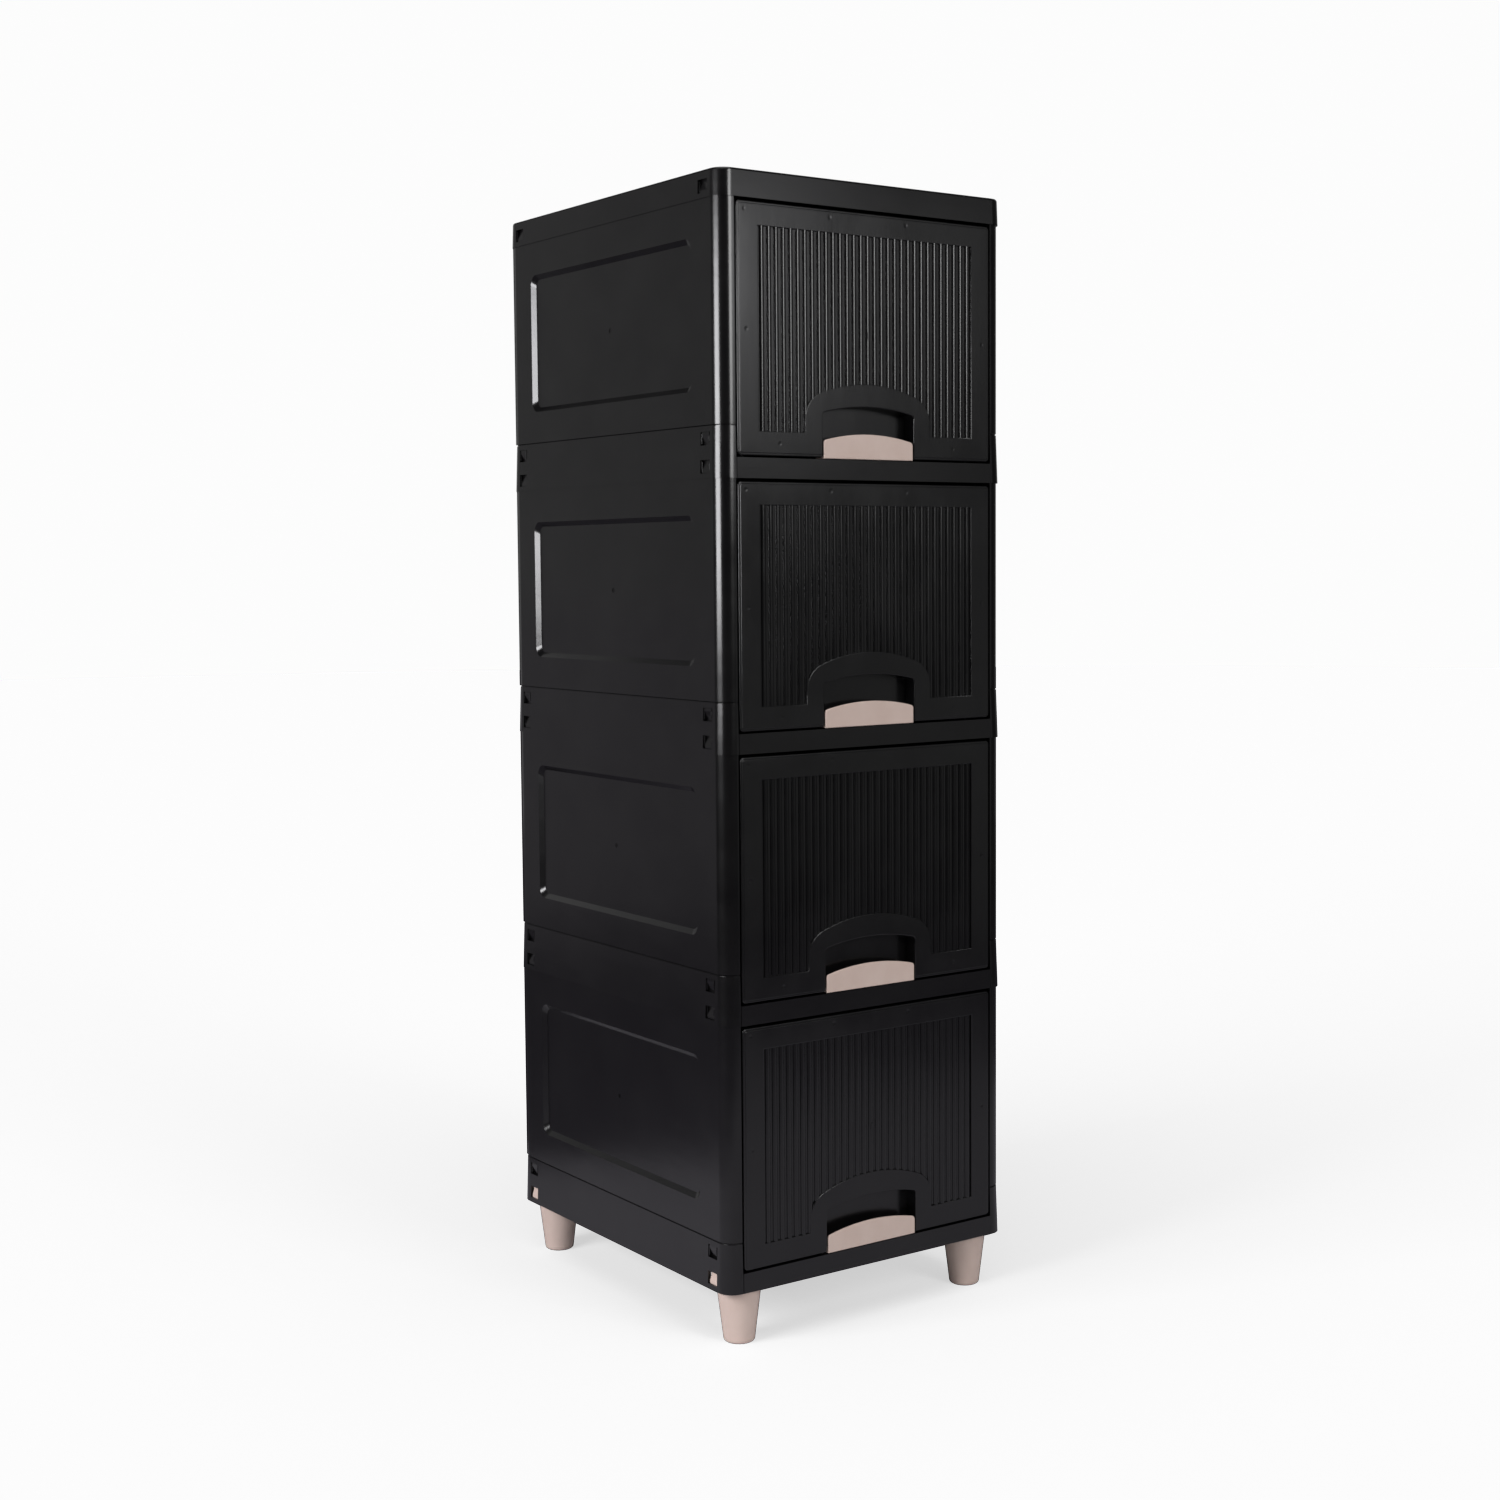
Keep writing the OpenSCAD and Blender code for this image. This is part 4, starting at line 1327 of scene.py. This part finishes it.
@dataclass
class Studio:
    """Seamless pale paper, soft lights round the tower and a dim room behind them."""

    room: float = 0.045
    backdrop: float = 0.975
    overhead_power: float = 62.0
    overhead_size: float = 3.4
    overhead_place: Triple = (-0.6, -1.0, 3.6)

    def make(self) -> None:
        """Builds the paper, the lights and the room."""
        self.paper()
        for box in (
            Softbox("left_softbox", -84.0, 1.85, 1.02, 0.67, 1.34, 16.0, (0.98, 0.975, 1.0)),
            Softbox("left_glow", -146.0, 2.4, 1.8, 0.0, 0.7, 0.17, (0.96, 0.91, 1.0)),
            Softbox("left_glow_high", -146.0, 2.42, 1.8, 0.7, 2.0, 0.18),
            Softbox("front_strip", 7.0, 2.6, 0.78, 1.04, 2.1, 9.6),
            Softbox("front_fill", 24.0, 2.7, 0.95, 1.02, 2.05, 0.95, (0.98, 0.98, 1.0)),
            Softbox("front_fill_high", 24.0, 2.72, 0.55, 1.26, 1.62, 2.2, (0.98, 0.98, 1.0)),
            Softbox("front_glow", 39.5, 2.7, 0.28, 1.15, 1.75, 0.5),
            Softbox("front_low", 36.0, 2.75, 1.2, 0.0, 1.15, 0.17),
            Softbox("right_glow", 105.0, 2.6, 1.2, 0.2, 2.2, 0.14),
            Softbox("rear_glow", 180.0, 2.6, 2.2, 0.2, 2.2, 0.22),
        ):
            box.make()
        overhead = area_light("overhead", self.overhead_size, self.overhead_size, self.overhead_power)
        overhead.location = self.overhead_place
        self.world()

    def paper(self) -> None:
        """Lays the seamless paper, the part of it that throws light back and the parts that the gloss mirrors. The
        mirrored parts are painted darker than the paper, as painted shade that dims the floor's reflection in the
        black plastic.
        """
        bright, white = StudioPaper(glow=1.1).build(), StudioPaper("studio_paper_white").build()
        # Painted shade: the floors that only the gloss sees are painted grey near the tower and nearly black further
        # out, in place of floor that lies in shade.
        dim = StudioPaper("studio_paper_painted_shade", (0.56, 0.54, 0.59)).build()
        far = StudioPaper("studio_paper_far_painted_shade", (0.13, 0.12, 0.145)).build()
        for name, radius, centre, paper in (
            ("studio_floor", 14000.0, (0, 0, 0), bright),
            ("studio_floor_bounce", 1500.0, (0, 0, -3), white),
            ("studio_floor_mirrored", 1000.0, (200, -280, -6), dim),
            ("studio_floor_mirrored_far", 2600.0, (0, 0, -9), far),
        ):
            bm = bmesh.new()
            bmesh.ops.create_circle(bm, cap_ends=True, segments=96, radius=radius)
            bmesh.ops.translate(bm, vec=centre, verts=bm.verts)
            thing = new_mesh_object(name, bm)
            thing.data.materials.append(paper)
            thing.is_shadow_catcher = name == "studio_floor"
            thing.visible_camera = name == "studio_floor"
            thing.visible_diffuse = name == "studio_floor_bounce"
            thing.visible_glossy = name.startswith("studio_floor_mirrored")
            thing.visible_shadow = False

    def world(self) -> None:
        """Fills the room with dim light behind the white backdrop."""
        world = bpy.data.worlds.new("room")
        bpy.context.scene.world = world
        world.use_nodes = True
        board = Board(world.node_tree)
        lit, seen = (board.node("ShaderNodeBackground", {"Color": WHITE, "Strength": strength}).outputs[0]
                     for strength in (self.room, self.backdrop))
        mix = board.node("ShaderNodeMixShader")
        ray = board.node("ShaderNodeLightPath").outputs["Is Camera Ray"]
        for socket, source in zip(mix.inputs, (ray, lit, seen)):
            board.feed(socket, source)
        board.node("ShaderNodeOutputWorld", {"Surface": mix.outputs[0]})


@dataclass(frozen=True)
class CameraRig:
    """Camera at the photograph's viewing angle, with its angles in degrees and its lens in millimetres."""

    place: Triple = (-1.3322, -1.9137, 0.7758)
    yaw: float = 34.784
    pitch: float = 4.117
    roll: float = 0.462
    lens: float = 51.226
    sensor: float = 36.0
    shift_y: float = -0.02
    clip_end: float = 60.0

    def make(self) -> None:
        """Sets up the camera."""
        data = bpy.data.cameras.new("camera")
        data.sensor_width, data.lens, data.shift_y = self.sensor, self.lens, self.shift_y
        data.clip_end = self.clip_end
        thing = bpy.data.objects.new("camera", data)
        bpy.context.scene.collection.objects.link(thing)
        yaw, pitch, roll = (math.radians(v) for v in (self.yaw, self.pitch, self.roll))
        ahead = Vector((math.sin(yaw) * math.cos(pitch), math.cos(yaw) * math.cos(pitch), -math.sin(pitch)))
        right = Vector((math.cos(yaw), -math.sin(yaw), 0.0))
        down = ahead.cross(right)
        right, down = (math.cos(roll) * right + math.sin(roll) * down, -math.sin(roll) * right + math.cos(roll) * down)
        turn = Matrix((right, -down, -ahead)).transposed()
        thing.matrix_world = Matrix.Translation(self.place) @ turn.to_4x4()
        bpy.context.scene.camera = thing


def main() -> None:
    """Builds the camera, the studio and every piece of the tower, in order."""
    logging.basicConfig(level=logging.INFO, format="%(name)s: %(message)s")
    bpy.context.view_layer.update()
    scene = bpy.context.scene
    scene.view_settings.view_transform = "Standard"
    scene.cycles.use_denoising = True
    CameraRig().make()
    Studio().make()
    finishes = Finishes.make()
    Lid(finishes).make()
    reeding = ReedingTree()
    for tier in range(1, TIERS + 1):
        ShelfFrame(finishes, tier).make()
        for side in Side:
            SidePanel(finishes, side, tier).make()
        BackPanel(finishes, tier).make()
        DrawerTray(finishes, tier).make()
        DrawerFront(finishes, reeding, tier).make()
        HandleLip(finishes, tier).make()
    for end in End:
        for side in Side:
            Foot(finishes, end, side).make()


if __name__ == "__main__":
    main()
